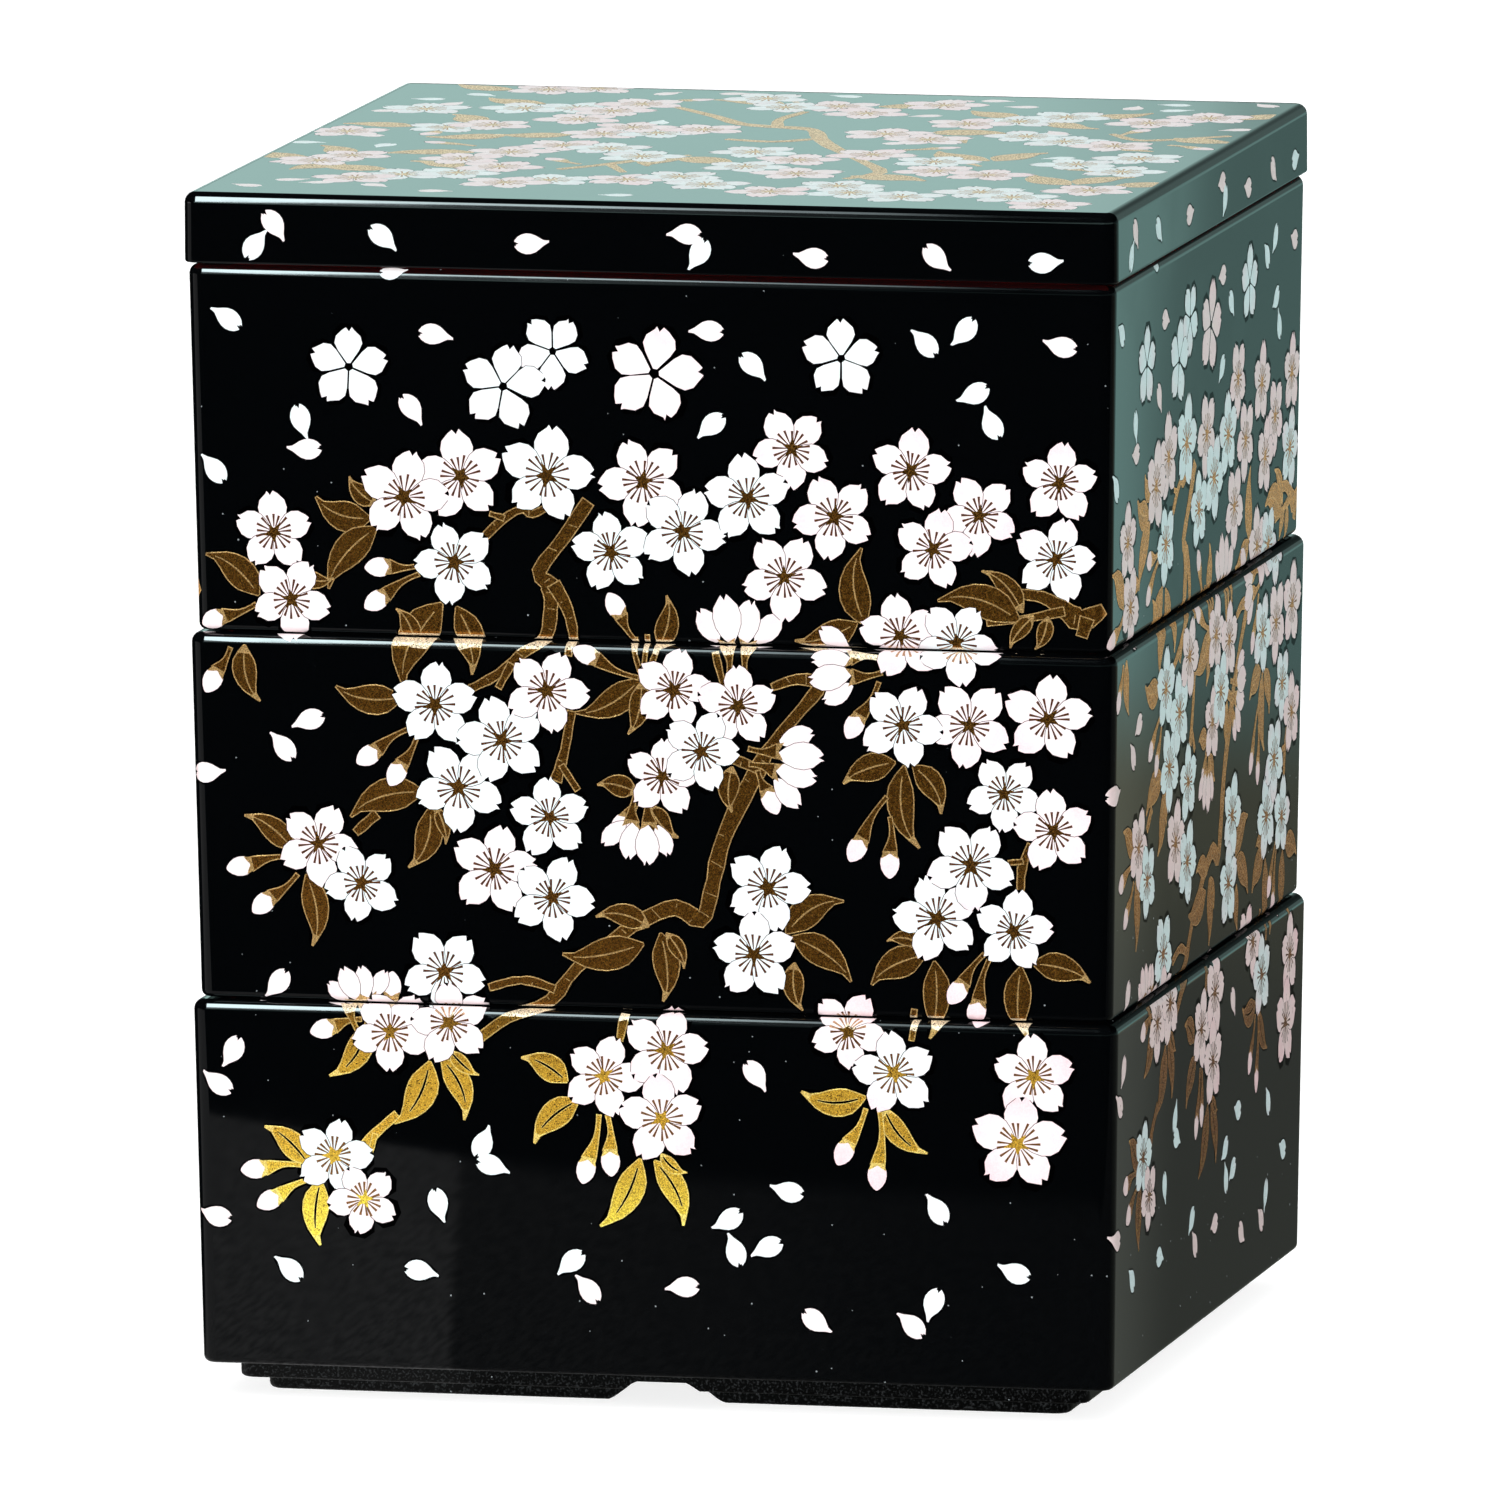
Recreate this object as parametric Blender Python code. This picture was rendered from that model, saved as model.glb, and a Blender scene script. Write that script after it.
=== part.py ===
# A square box of three stacked tiers under a flat lid, moulded and lacquered.
# Metres, +Z up. The origin is under the middle of the box, on the surface it stands on.
# The front is -Y. Every tier is the same moulding, nested in the rim of the one below.

from math import cos, pi, sin

import bmesh
import bpy
from mathutils import Matrix

MM = 0.001

# Tiers
TIER_NAMES = ("bottom_tier", "middle_tier", "top_tier")
RIM_WIDTH = 164.0 * MM  # outside width at the rim, front to back as well
WALL_HEIGHT = 64.0 * MM  # from the wall's lower edge to the rim
WALL = 5.6 * MM  # wall thickness
DRAFT = 1.1 * MM  # how much each wall leans in from the rim to its lower edge
FLOOR = 4.2 * MM  # thickness of the floor
CORNER_RADIUS = 2.8 * MM  # upright corners outside
MOUTH_RADIUS = 3.8 * MM  # upright corners inside
RIM_ROUND = 1.8 * MM  # outer edge of the rim
EDGE_ROUND = 1.2 * MM  # lower edge of the wall
MOUTH_ROUND = 0.6 * MM  # inner edge of the rim
FLOOR_FILLET = 3.0 * MM  # where the inside walls meet the floor

# Nesting step and foot, below the wall
NEST_CLEARANCE = 0.8 * MM  # play of a nesting step or a lip in a mouth, all round
STEP_HEIGHT = 3.2 * MM
STEP_ROUND = 0.8 * MM
FOOT_INSET = 4.1 * MM  # how far the foot stands in from the nesting step
FOOT_HEIGHT = 2.55 * MM
FOOT_WIDTH = 4.0 * MM
FOOT_ROUND = 1.0 * MM
FOOT_RADIUS = 3.0 * MM  # upright corners of the step and the foot

# Notch in the middle of each side of the foot
NOTCH_TOP_WIDTH = 7.0 * MM
NOTCH_BOTTOM_WIDTH = 23.6 * MM
NOTCH_ROOF = 1.45 * MM  # from the wall's lower edge down to the notch's roof

# Lid
LID_OVERHANG = 0.55 * MM  # how far the lid stands out over the rim
LID_HEIGHT = 12.3 * MM
LID_TOP = 3.6 * MM  # thickness of the lid's plate
LID_RADIUS = 2.4 * MM  # upright corners
LID_ROUND = 1.9 * MM  # edge round the lid's top
LID_LOWER_ROUND = 0.5 * MM
LIP_WIDTH = 2.0 * MM
LIP_DEPTH = 3.2 * MM  # how far the lip reaches down past the lid's lower edge
LIP_ROUND = 0.5 * MM
LID_FILLET = 2.5 * MM  # inside, where the lip meets the plate

# Fits and fineness
REST_GAP = 0.3 * MM  # air between two pieces that rest on each other
CORNER_STEPS = 6  # facets in an upright corner
ROUND_STEPS = 3  # facets in a rounded edge
NOTCH_STEPS = 8  # facets in each flank of the notch
CUT_MARGIN = 1.0 * MM  # how far a cutter runs past what it cuts

# Worked out from the above
FOOT_TO_WALL = FOOT_HEIGHT + STEP_HEIGHT
TIER_PITCH = WALL_HEIGHT + REST_GAP
RIM_HALF = RIM_WIDTH / 2
MOUTH_HALF = RIM_HALF - WALL
STEP_HALF = MOUTH_HALF - NEST_CLEARANCE
FOOT_HALF = STEP_HALF - FOOT_INSET
LID_HALF = RIM_HALF + LID_OVERHANG

BLACK = (0.006, 0.007, 0.008, 1.0)
RED = (0.33, 0.014, 0.010, 1.0)


def clear_scene():
    for obj in list(bpy.data.objects):
        bpy.data.objects.remove(obj, do_unlink=True)


def lacquer(name, colour, roughness):
    material = bpy.data.materials.new(name)
    material.use_nodes = True
    shader = material.node_tree.nodes["Principled BSDF"]
    shader.inputs["Base Color"].default_value = colour
    shader.inputs["Roughness"].default_value = roughness
    shader.inputs["Metallic"].default_value = 0.0
    return material


def station(half, radius, z, at=None):
    """A rounded square of a profile, moved in or out to half-width at, with its corners."""
    at = half if at is None else at
    return at, max(radius + at - half, 0.2 * MM), z


def rounding(half, radius, z, r, start, end):
    """The stations of a rounded edge; start and end are quarter turns, 0 facing outwards.

    The edge's sharp form lies at half-width half and height z.
    """
    inward = -1 if cos((start + end) * pi / 4) > 0 else 1
    down = -1 if sin((start + end) * pi / 4) > 0 else 1
    out = []
    for i in range(ROUND_STEPS + 1):
        angle = (start + (end - start) * i / ROUND_STEPS) * pi / 2
        at = half + r * (inward + cos(angle))
        out.append(station(half, radius, z + r * (down + sin(angle)), at))
    return out


def ring_of(bm, half, radius, z):
    """One ring of vertices: a square with rounded corners."""
    ring = []
    middle = half - radius
    for corner in range(4):
        towards = (corner + 0.5) * pi / 2
        x = middle if cos(towards) > 0 else -middle
        y = middle if sin(towards) > 0 else -middle
        for i in range(CORNER_STEPS + 1):
            angle = (corner + i / CORNER_STEPS) * pi / 2
            ring.append(bm.verts.new((x + radius * cos(angle), y + radius * sin(angle), z)))
    return ring


def moulding(name, stations, inner):
    """A closed mesh through the stations; the first `inner` spans are lined in red."""
    bm = bmesh.new()
    rings = [ring_of(bm, *one) for one in stations]
    for number, (above, below) in enumerate(zip(rings, rings[1:])):
        for i in range(len(above)):
            j = (i + 1) % len(above)
            face = bm.faces.new((above[i], above[j], below[j], below[i]))
            face.material_index = int(number < inner)
    bm.faces.new(rings[0]).material_index = 1
    bm.faces.new(reversed(rings[-1]))
    bmesh.ops.recalc_face_normals(bm, faces=bm.faces[:])
    mesh = bpy.data.meshes.new(name)
    bm.to_mesh(mesh)
    bm.free()
    return mesh


def tier_stations():
    """The tier's profile, from the floor inside, over the rim and down to the foot."""
    low = FOOT_TO_WALL
    rim = low + WALL_HEIGHT
    base = FOOT_HEIGHT
    floor = base + FLOOR
    inside = rounding(MOUTH_HALF - DRAFT, MOUTH_RADIUS, floor, FLOOR_FILLET, -1, 0)
    inside += rounding(MOUTH_HALF, MOUTH_RADIUS, rim, MOUTH_ROUND, 2, 1)
    outside = rounding(RIM_HALF, CORNER_RADIUS, rim, RIM_ROUND, 1, 0)
    outside += rounding(RIM_HALF - DRAFT, CORNER_RADIUS, low, EDGE_ROUND, 0, -1)
    outside.append(station(STEP_HALF, FOOT_RADIUS, low))
    outside += rounding(STEP_HALF, FOOT_RADIUS, base, STEP_ROUND, 0, -1)
    outside.append(station(FOOT_HALF, FOOT_RADIUS, base))
    outside += rounding(FOOT_HALF, FOOT_RADIUS, 0.0, FOOT_ROUND, 0, -1)
    outside.append(station(FOOT_HALF, FOOT_RADIUS, 0.0, FOOT_HALF - FOOT_WIDTH))
    outside.append(station(FOOT_HALF, FOOT_RADIUS, base, FOOT_HALF - FOOT_WIDTH))
    return inside, outside


def lid_stations():
    """The lid's profile, from under its plate, round the lip and over the top.

    Its lower edge is at z = 0.
    """
    lip = MOUTH_HALF - NEST_CLEARANCE
    lip_radius = MOUTH_RADIUS - NEST_CLEARANCE
    hollow = lip - LIP_WIDTH
    ceiling = LID_HEIGHT - LID_TOP
    inside = rounding(hollow, lip_radius, ceiling, LID_FILLET, 1, 0)
    inside += rounding(hollow, lip_radius, -LIP_DEPTH, LIP_ROUND, 2, 3)
    inside += rounding(lip, lip_radius, -LIP_DEPTH, LIP_ROUND, -1, 0)
    inside.append(station(lip, lip_radius, 0.0))
    outside = rounding(LID_HALF, LID_RADIUS, 0.0, LID_LOWER_ROUND, -1, 0)
    outside += rounding(LID_HALF, LID_RADIUS, LID_HEIGHT, LID_ROUND, 0, 1)
    return inside, outside


def notch_cutter():
    """Four blocks with S-shaped flanks that cut the notch into each side of the foot."""
    roof = FOOT_TO_WALL - NOTCH_ROOF
    fall = roof + CUT_MARGIN / 2
    top, bottom = NOTCH_TOP_WIDTH / 2, NOTCH_BOTTOM_WIDTH / 2
    flank = []
    for i in range(NOTCH_STEPS + 1):
        along = i / NOTCH_STEPS
        x = bottom + (top - bottom) * along
        flank.append((x, roof - fall * (0.5 + 0.5 * cos(pi * along))))
    outline = [(bottom, -CUT_MARGIN)] + flank
    outline += [(-x, z) for x, z in reversed(outline)]
    near = STEP_HALF + CUT_MARGIN
    far = FOOT_HALF - FOOT_WIDTH - CUT_MARGIN
    bm = bmesh.new()
    for side in range(4):
        turn = Matrix.Rotation(side * pi / 2, 4, "Z")
        face = bm.faces.new([bm.verts.new(turn @ Matrix.Translation((x, -near, z)).translation)
                             for x, z in outline])
        block = bmesh.ops.extrude_face_region(bm, geom=[face])
        moved = [item for item in block["geom"] if isinstance(item, bmesh.types.BMVert)]
        inwards = turn.to_3x3() @ Matrix.Translation((0, near - far, 0)).translation
        bmesh.ops.translate(bm, verts=moved, vec=inwards)
    bmesh.ops.recalc_face_normals(bm, faces=bm.faces[:])
    mesh = bpy.data.meshes.new("notch_cutter")
    bm.to_mesh(mesh)
    bm.free()
    cutter = bpy.data.objects.new("notch_cutter", mesh)
    cutter.hide_render = True
    cutter.display_type = "WIRE"
    return cutter


def tier_mesh():
    """The moulding that all three tiers share, with its notches cut."""
    inside, outside = tier_stations()
    raw = bpy.data.objects.new("raw_tier", moulding("raw_tier", inside + outside, len(inside) - 1))
    cutter = notch_cutter()
    for obj in (raw, cutter):
        bpy.context.collection.objects.link(obj)
    cut = raw.modifiers.new("notches", "BOOLEAN")
    cut.operation = "DIFFERENCE"
    cut.solver = "EXACT"
    cut.object = cutter
    evaluated = raw.evaluated_get(bpy.context.evaluated_depsgraph_get())
    mesh = bpy.data.meshes.new_from_object(evaluated)
    mesh.name = "tier"
    for obj in (raw, cutter):
        bpy.data.objects.remove(obj, do_unlink=True)
    return mesh


def lid_mesh():
    inside, outside = lid_stations()
    return moulding("lid", inside + outside, len(inside))


def place(name, mesh, z, materials, parent):
    """An object for one piece, with its own materials on a mesh it may share."""
    obj = bpy.data.objects.new(name, mesh)
    obj.location.z = z
    obj.parent = parent
    bpy.context.collection.objects.link(obj)
    for number, material in enumerate(materials):
        if len(mesh.materials) <= number:
            mesh.materials.append(material)
        obj.material_slots[number].link = "OBJECT"
        obj.material_slots[number].material = material
    return obj


def build():
    clear_scene()
    box = bpy.data.objects.new("box", None)
    bpy.context.collection.objects.link(box)
    tier, lid = tier_mesh(), lid_mesh()
    for mesh in (tier, lid):
        mesh.shade_smooth()
        mesh.set_sharp_from_angle(angle=pi / 5)
    inside = lacquer("red_lining", RED, 0.25)
    for level, name in enumerate(TIER_NAMES):
        outside = lacquer(name + "_lacquer", BLACK, 0.06)
        place(name, tier, level * TIER_PITCH, (outside, inside), box)
    lid_z = FOOT_TO_WALL + len(TIER_NAMES) * TIER_PITCH
    place("lid", lid, lid_z, (lacquer("lid_lacquer", BLACK, 0.05), inside), box)


build()
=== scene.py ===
from math import atan, cos, hypot, pi, radians, sin

import bmesh
import bpy
import numpy as np
from mathutils import Matrix, Vector
from mathutils.geometry import delaunay_2d_cdt


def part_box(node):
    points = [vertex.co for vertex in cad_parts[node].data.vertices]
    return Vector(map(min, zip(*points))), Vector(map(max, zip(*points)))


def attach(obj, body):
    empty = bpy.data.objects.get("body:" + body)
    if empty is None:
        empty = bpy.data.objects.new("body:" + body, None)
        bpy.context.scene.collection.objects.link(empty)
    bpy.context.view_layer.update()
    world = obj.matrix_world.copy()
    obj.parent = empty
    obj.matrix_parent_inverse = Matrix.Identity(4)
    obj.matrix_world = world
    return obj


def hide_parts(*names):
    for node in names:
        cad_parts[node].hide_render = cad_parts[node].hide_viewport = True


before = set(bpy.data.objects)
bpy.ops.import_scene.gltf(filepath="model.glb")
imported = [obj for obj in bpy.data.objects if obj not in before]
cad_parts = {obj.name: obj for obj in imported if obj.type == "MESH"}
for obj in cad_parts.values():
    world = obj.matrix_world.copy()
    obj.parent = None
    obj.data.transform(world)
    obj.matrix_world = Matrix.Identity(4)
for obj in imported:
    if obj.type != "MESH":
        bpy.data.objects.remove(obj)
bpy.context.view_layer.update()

# Bento box: three nested tiers and a lid in black lacquer with a cherry-blossom print.
# Shapes are in millimetres and the front is -Y; the lights, floor and camera are in metres.
mm = 0.001
tierNodes = ("bottom_tier", "middle_tier", "top_tier")
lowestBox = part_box("bottom_tier")
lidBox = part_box("lid")

fineness = {"corner": 4, "round": 5}  # facets in half an upright corner, and in a rounded edge
weld = {"size": 1e-6, "shift": 0.37}  # in metres, and how far its cells lie off the round numbers
touching = 1e-6  # points this near a line lie on it, in millimetres

inks = ("lacquer", "edge", "lining", "film", "petal", "coolPetal", "pistil", "powder", "line", "foot")
inkNumber = {name: number for number, name in enumerate(inks)}


# Turns rows of points from the front to another side; 0 is the front and 2 the back
def quarterTurn(side):
    return np.array(Matrix.Rotation(side * pi / 2, 3, "Z")).T


# Triangles are collected corner by corner, and welded when the shell is done
class Shell:
    def __init__(self):
        self.places, self.normals, self.maps, self.tints, self.inks = [], [], [], [], []

    def add(self, places, normals, maps, ink, tints=None):
        places, normals, maps = (np.array(one, float) for one in (places, normals, maps))
        count = len(places)
        tints = np.zeros(count) if tints is None else np.array(tints, float)
        tri = places.reshape(-1, 3, 3)
        facing = np.cross(tri[:, 1] - tri[:, 0], tri[:, 2] - tri[:, 0])
        wrong = (facing * normals.reshape(-1, 3, 3).sum(1)).sum(1) < 0
        order = np.arange(count).reshape(-1, 3)
        order[wrong] = order[wrong][:, ::-1]
        order = order.ravel()
        self.places.append(places[order])
        self.normals.append(normals[order])
        self.maps.append(maps[order])
        self.tints.append(tints[order])
        self.inks.append(np.array(np.broadcast_to(ink, count // 3), int))

    # the same triangles on several sides
    def addSides(self, places, normals, maps, ink, tints=None, sides=range(4)):
        for side in sides:
            turn = quarterTurn(side)
            self.add(np.array(places) @ turn, np.array(normals) @ turn, maps, ink, tints)

    def finish(self, name):
        places = np.concatenate(self.places) * mm
        cells = np.floor(places / weld["size"] + weld["shift"]).astype(np.int64)
        _, first, corner = np.unique(cells, axis=0, return_index=True, return_inverse=True)
        corner = corner.reshape(-1, 3)
        a, b, c = corner.T
        whole = (a != b) & (b != c) & (c != a)
        keep = np.repeat(whole, 3)
        corner = corner[whole]
        count = len(corner)
        mesh = bpy.data.meshes.new(name)
        mesh.vertices.add(len(first))
        mesh.vertices.foreach_set("co", places[first].ravel())
        mesh.loops.add(count * 3)
        mesh.loops.foreach_set("vertex_index", corner.ravel().astype(np.int32))
        mesh.polygons.add(count)
        mesh.polygons.foreach_set("loop_start", np.arange(0, count * 3, 3, dtype=np.int32))
        mesh.polygons.foreach_set("material_index", np.concatenate(self.inks)[whole].astype(np.int32))
        mesh.update(calc_edges=True)
        mesh.shade_smooth()
        bakeMap = mesh.uv_layers.new(name="OFBake")
        bakeMap.data.foreach_set("uv", np.concatenate(self.maps)[keep].ravel())
        # the blush attribute holds the petals' pink and, on gold, the painted highlight on rounded edges
        blush = mesh.attributes.new("blush", "FLOAT", "CORNER")
        blush.data.foreach_set("value", np.concatenate(self.tints)[keep])
        mesh.normals_split_custom_set(np.concatenate(self.normals)[keep])
        print(f"{name}: {count} triangles")
        return mesh


# Along a side, s runs over the flat and half an upright corner at each end
def sideLengths(shape):
    flat = shape["half"] - shape["corner"]
    return flat, flat + shape["corner"] * pi / 4


def sideStops(shape):
    flat, end = sideLengths(shape)
    stops = [flat + (end - flat) * i / fineness["corner"] for i in range(fineness["corner"] + 1)]
    return [-s for s in reversed(stops)] + stops


# Places and normals on the front side, at half-width at, with corner radius r, height z
# and the outward normal's rise, an angle
def onSide(shape, s, at, r, z, rise):
    s, at, r, z, rise = np.broadcast_arrays(*(np.asarray(one, float) for one in (s, at, r, z, rise)))
    flat = sideLengths(shape)[0]
    turn = np.clip((np.abs(s) - flat) / shape["corner"], 0, None)
    hand = np.where(s < 0, -1, 1)
    x = np.where(turn > 0, hand * (at - r + r * np.sin(turn)), s / flat * (at - r))
    y = -(at - r + r * np.cos(turn))
    places = np.stack([x, y, z], -1)
    outwards = hand * np.sin(turn) * np.cos(rise), -np.cos(turn) * np.cos(rise), np.sin(rise)
    return places, np.stack(outwards, -1)


# Stations of a rounded edge or a fillet: (half-width, corner radius, height, rise)
def rounding(half, corner, z, r, start, end, hollow=False):
    inward = -1 if cos((start + end) * pi / 4) > 0 else 1
    down = -1 if sin((start + end) * pi / 4) > 0 else 1
    out = []
    for i in range(fineness["round"] + 1):
        angle = (start + (end - start) * i / fineness["round"]) * pi / 2
        at = half + r * (inward + cos(angle))
        out.append((at, corner + at - half, z + r * (down + sin(angle)), angle + pi * hollow))
    return out


def lifted(stations, by):
    return [(at, r, z + by, rise) for at, r, z, rise in stations]


mapRoom = 0.01  # left free at the ends of the bake map's rows


# Places in the bake map along one of its rows
def mapAlong(shape, s, v):
    s, v = np.broadcast_arrays(np.asarray(s, float), np.asarray(v, float))
    end = sideLengths(shape)[1]
    return np.stack([mapRoom + (1 - 2 * mapRoom) * (s + end) / (2 * end), v], -1)


# Places in a square of the bake map, for a part that reaches as far as at
def mapSquare(square, places, at):
    centre, size = square
    return np.array(centre) + np.asarray(places, float)[..., :2] / at * size


# Triangles between two rows of stops, each corner as its row and its number there
def zipRows(a, b):
    i = j = 0
    tris = []
    while i < len(a) - 1 or j < len(b) - 1:
        if j == len(b) - 1 or (i < len(a) - 1 and a[i + 1] <= b[j + 1]):
            tris.append(((0, i), (0, i + 1), (1, j)))
            i += 1
        else:
            tris.append(((0, i), (1, j + 1), (1, j)))
            j += 1
    return tris


# A band between two stations; the first may have stops of its own
def band(shell, shape, one, two, ink, mapRows, stopsOne=None):
    stops = stopsOne or sideStops(shape), sideStops(shape)
    rows = [onSide(shape, row, *station) for row, station in zip(stops, (one, two))]
    maps = [mapAlong(shape, row, v) for row, v in zip(stops, mapRows)]
    corners = [corner for tri in zipRows(*stops) for corner in tri]
    shell.addSides([rows[row][0][k] for row, k in corners], [rows[row][1][k] for row, k in corners],
                   [maps[row][k] for row, k in corners], inkNumber[ink])


# Bands through runs of stations, with the map's rows between them
def linedBands(shell, shape, runs, edges):
    for stations, low, high in zip(runs, edges, edges[1:]):
        count = len(stations) - 1
        for number, (one, two) in enumerate(zip(stations, stations[1:])):
            rows = [low + (high - low) * (number + k) / count for k in (0, 1)]
            band(shell, shape, one, two, "lining", rows)


# A flat floor or ceiling inside a ring
def disc(shell, shape, station, ink, square):
    at, r, z, rise = station
    places = onSide(shape, sideStops(shape), at, r, z, rise)[0]
    centre = np.array([0.0, 0.0, z])
    corners = [p for one, two in zip(places, places[1:]) for p in (centre, one, two)]
    maps = mapSquare(square, corners, at)
    shell.addSides(corners, [(0, 0, sin(rise))] * len(corners), maps, inkNumber[ink])


# How far up a side, along its surface, the lower round, the wall and the upper round end
def wallLengths(shape):
    low, high = shape["lowRound"] * pi / 2, shape["highRound"] * pi / 2
    height = shape["high"] - shape["low"] - shape["lowRound"] - shape["highRound"]
    wall = height / cos(atan(shape["lean"] / height))
    return low, low + wall, low + wall + high


# The printed band of a side at v along its surface, as a station
def wallProfile(shape, v):
    v = np.asarray(v, float)
    low, high = shape["lowRound"], shape["highRound"]
    lowEnd, wallEnd, top = wallLengths(shape)
    height = shape["high"] - shape["low"] - low - high
    lean = atan(shape["lean"] / height)
    along = np.clip((v - lowEnd) / (wallEnd - lowEnd), 0, 1)
    before = np.clip(v / lowEnd, 0, 1) - 1  # from -1 to 0 over the lower round
    after = np.clip((v - wallEnd) / (top - wallEnd), 0, 1)
    drawn = low * (1 - np.cos(before * pi / 2)) + high * (1 - np.cos(after * pi / 2))
    at = shape["half"] - shape["lean"] * (1 - along) - drawn
    bent = low * np.sin(before * pi / 2) + high * np.sin(after * pi / 2)
    z = shape["low"] + low + height * along + bent
    rise = -lean * (1 - after) * (1 + before) + (before + after) * pi / 2
    return at, shape["corner"] - drawn, z, rise


# An outline, run through anticlockwise
def turned(outline):
    p = np.array(outline, float)
    x, y = p.T
    return p[::-1] if (x * np.roll(y, -1) - y * np.roll(x, -1)).sum() < 0 else p


# Print: a sheet is a list of figures, the later ones over the earlier ones
class Sheet:
    def __init__(self, seed):
        self.margins, self.figures, self.group = [], [], 0
        self.chance = np.random.default_rng(seed)

    def put(self, ink, outline, lift=0.0, blush=None, margin=False):
        figure = {"ink": ink, "outline": turned(outline), "lift": lift, "group": self.group, "blush": blush}
        (self.margins if margin else self.figures).append(figure)

    def either(self):
        return "coolPetal" if self.chance.random() < petalShape["coolShare"] else "petal"

    def all(self):
        return self.margins + self.figures


def placed(outline, x, y, angle):
    c, s = cos(radians(angle)), sin(radians(angle))
    return [(x + c * a - s * b, y + s * a + c * b) for a, b in outline]


sharpest = 0.3  # keeps the pointed ends of a grown outline from running far out


def grown(outline, by):
    p = turned(outline)
    step = np.roll(p, -1, 0) - p
    step /= np.maximum(np.linalg.norm(step, axis=1), 1e-9)[:, None]
    out = np.stack([step[:, 1], -step[:, 0]], 1)
    both = out + np.roll(out, 1, 0)
    both /= np.maximum(np.linalg.norm(both, axis=1), sharpest)[:, None]
    return p + both * by


petalShape = {
    "width": 0.8,  # of its length
    "flank": ((0, 0.2), (0.17, 0.6), (0.36, 0.9), (0.56, 1), (0.76, 0.86), (0.93, 0.43)),
    "slim": ((0, 0.12), (0.17, 0.42), (0.36, 0.76), (0.56, 1), (0.76, 0.88), (0.93, 0.43)),  # if plain
    "notch": ((1.0, 0.22), (0.95, 0.11), (0.885, 0.0), (0.95, -0.1), (1.01, -0.21)),
    "tip": 0.99,  # of the film under the notch
    "skew": 0.2,  # how far the notch may lie off the middle
    "seam": 0.11,  # dark line round each petal
    "margin": 0.36,  # clear film round each figure
    "coolShare": 0.45,  # share of the blossoms printed in the bluer white
    "blushStart": 0.25,  # share of the radius that stays white
}


def petalOutline(length, flank, skew=None):
    half = length * petalShape["width"] / 2
    one = [(t * length, w * half) for t, w in petalShape[flank]]
    tip = [(petalShape["tip"] * length, 0.0)]
    if skew is not None:
        tip = [(t * length, (w + skew) * half) for t, w in petalShape["notch"]]
    return one + tip + [(x, -y) for x, y in reversed(one)]


blossomShape = {
    "petals": 5,
    "base": 0.1,  # the petals start this share of the radius from the middle
    "margin": ((-28, 0.87), (-11, 1.02), (11, 1.02), (28, 0.87), (36, 0.6)),  # the film: angle and reach
    "stamens": 17,
    "start": 0.13,
    "reach": 0.48,  # of the radius
    "thread": (0.08, 0.23),  # half a stamen's width at either end
    "star": (0.3, 0.13),  # reach of the gold arms, and of the notches between them
    "swing": 3,  # how far a petal may be turned, in degrees
    "slip": 0.2,  # how far a stamen may lie off its place, of the way to the next
    # least and most of what chance multiplies: petals, then stamens, then the star's arms
    "lengths": (0.95, 1.05),
    "bases": (0.85, 1.15),
    "blushes": (0.3, 1.2),
    "reaches": (0.9, 1.05),
    "arms": (0.75, 1.1),
}


def blossom(sheet, x, y, radius, turn, blush=0.3, plain=False):
    sheet.group += 1
    look, chance, count = blossomShape, sheet.chance, blossomShape["petals"]
    ink, flank = sheet.either(), "slim" if plain else "flank"
    hull = []
    for i in range(count):
        for turnAway, share in look["margin"]:
            angle, size = radians(turn + 360 / count * i + turnAway), share * radius + petalShape["margin"]
            hull.append((x + size * cos(angle), y + size * sin(angle)))
    sheet.put("film", hull, margin=True)
    for i in range(count):
        angle = turn + 360 / count * i + chance.uniform(-look["swing"], look["swing"])
        length = radius * (1 - look["base"]) * chance.uniform(*look["lengths"])
        skew = chance.uniform(-petalShape["skew"], petalShape["skew"])
        base = look["base"] * radius * chance.uniform(*look["bases"])
        amount = blush * chance.uniform(*look["blushes"])
        px, py = x + base * cos(radians(angle)), y + base * sin(radians(angle))
        under = placed(petalOutline(length, flank), px, py, angle)
        sheet.put("film", grown(under, petalShape["seam"]))
        sheet.put(ink, placed(petalOutline(length, flank, skew), px, py, angle), blush=(x, y, radius, amount))
    if plain:
        return
    for i in range(look["stamens"]):
        angle = turn + (i + chance.uniform(-look["slip"], look["slip"])) * 360 / look["stamens"]
        reach = radius * look["reach"] * chance.uniform(*look["reaches"])
        side = [(look["start"] * radius, look["thread"][0]), (reach, look["thread"][1])]
        sheet.put("pistil", placed([(a, -b) for a, b in side] + side[::-1], x, y, angle))
    star = []
    for i in range(2 * count):
        size = look["star"][i % 2] * radius * chance.uniform(*look["arms"])
        star.append((size * cos(i * pi / count), size * sin(i * pi / count)))
    sheet.put("powder", placed(star, x, y, turn + 180 / count))


loosePetal = {
    "length": 6.2,
    "width": 3.7,
    "flank": ((0.02, 0.34), (0.1, 0.66), (0.21, 0.88), (0.34, 1), (0.48, 0.97), (0.62, 0.8), (0.74, 0.52),
              (0.84, 0.28), (0.93, 0.17), (1.0, 0.1)),
    "slack": 0.95,  # its other flank is this much narrower
    "notch": ((0, -0.28), (0.07, -0.2), (0.05, -0.1), (0.13, 0.02), (0.06, 0.12), (0.0, 0.2)),
    "bend": 0.55,  # how far the tail swings sideways
    "blushes": (0.2, 1.2),
}


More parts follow.
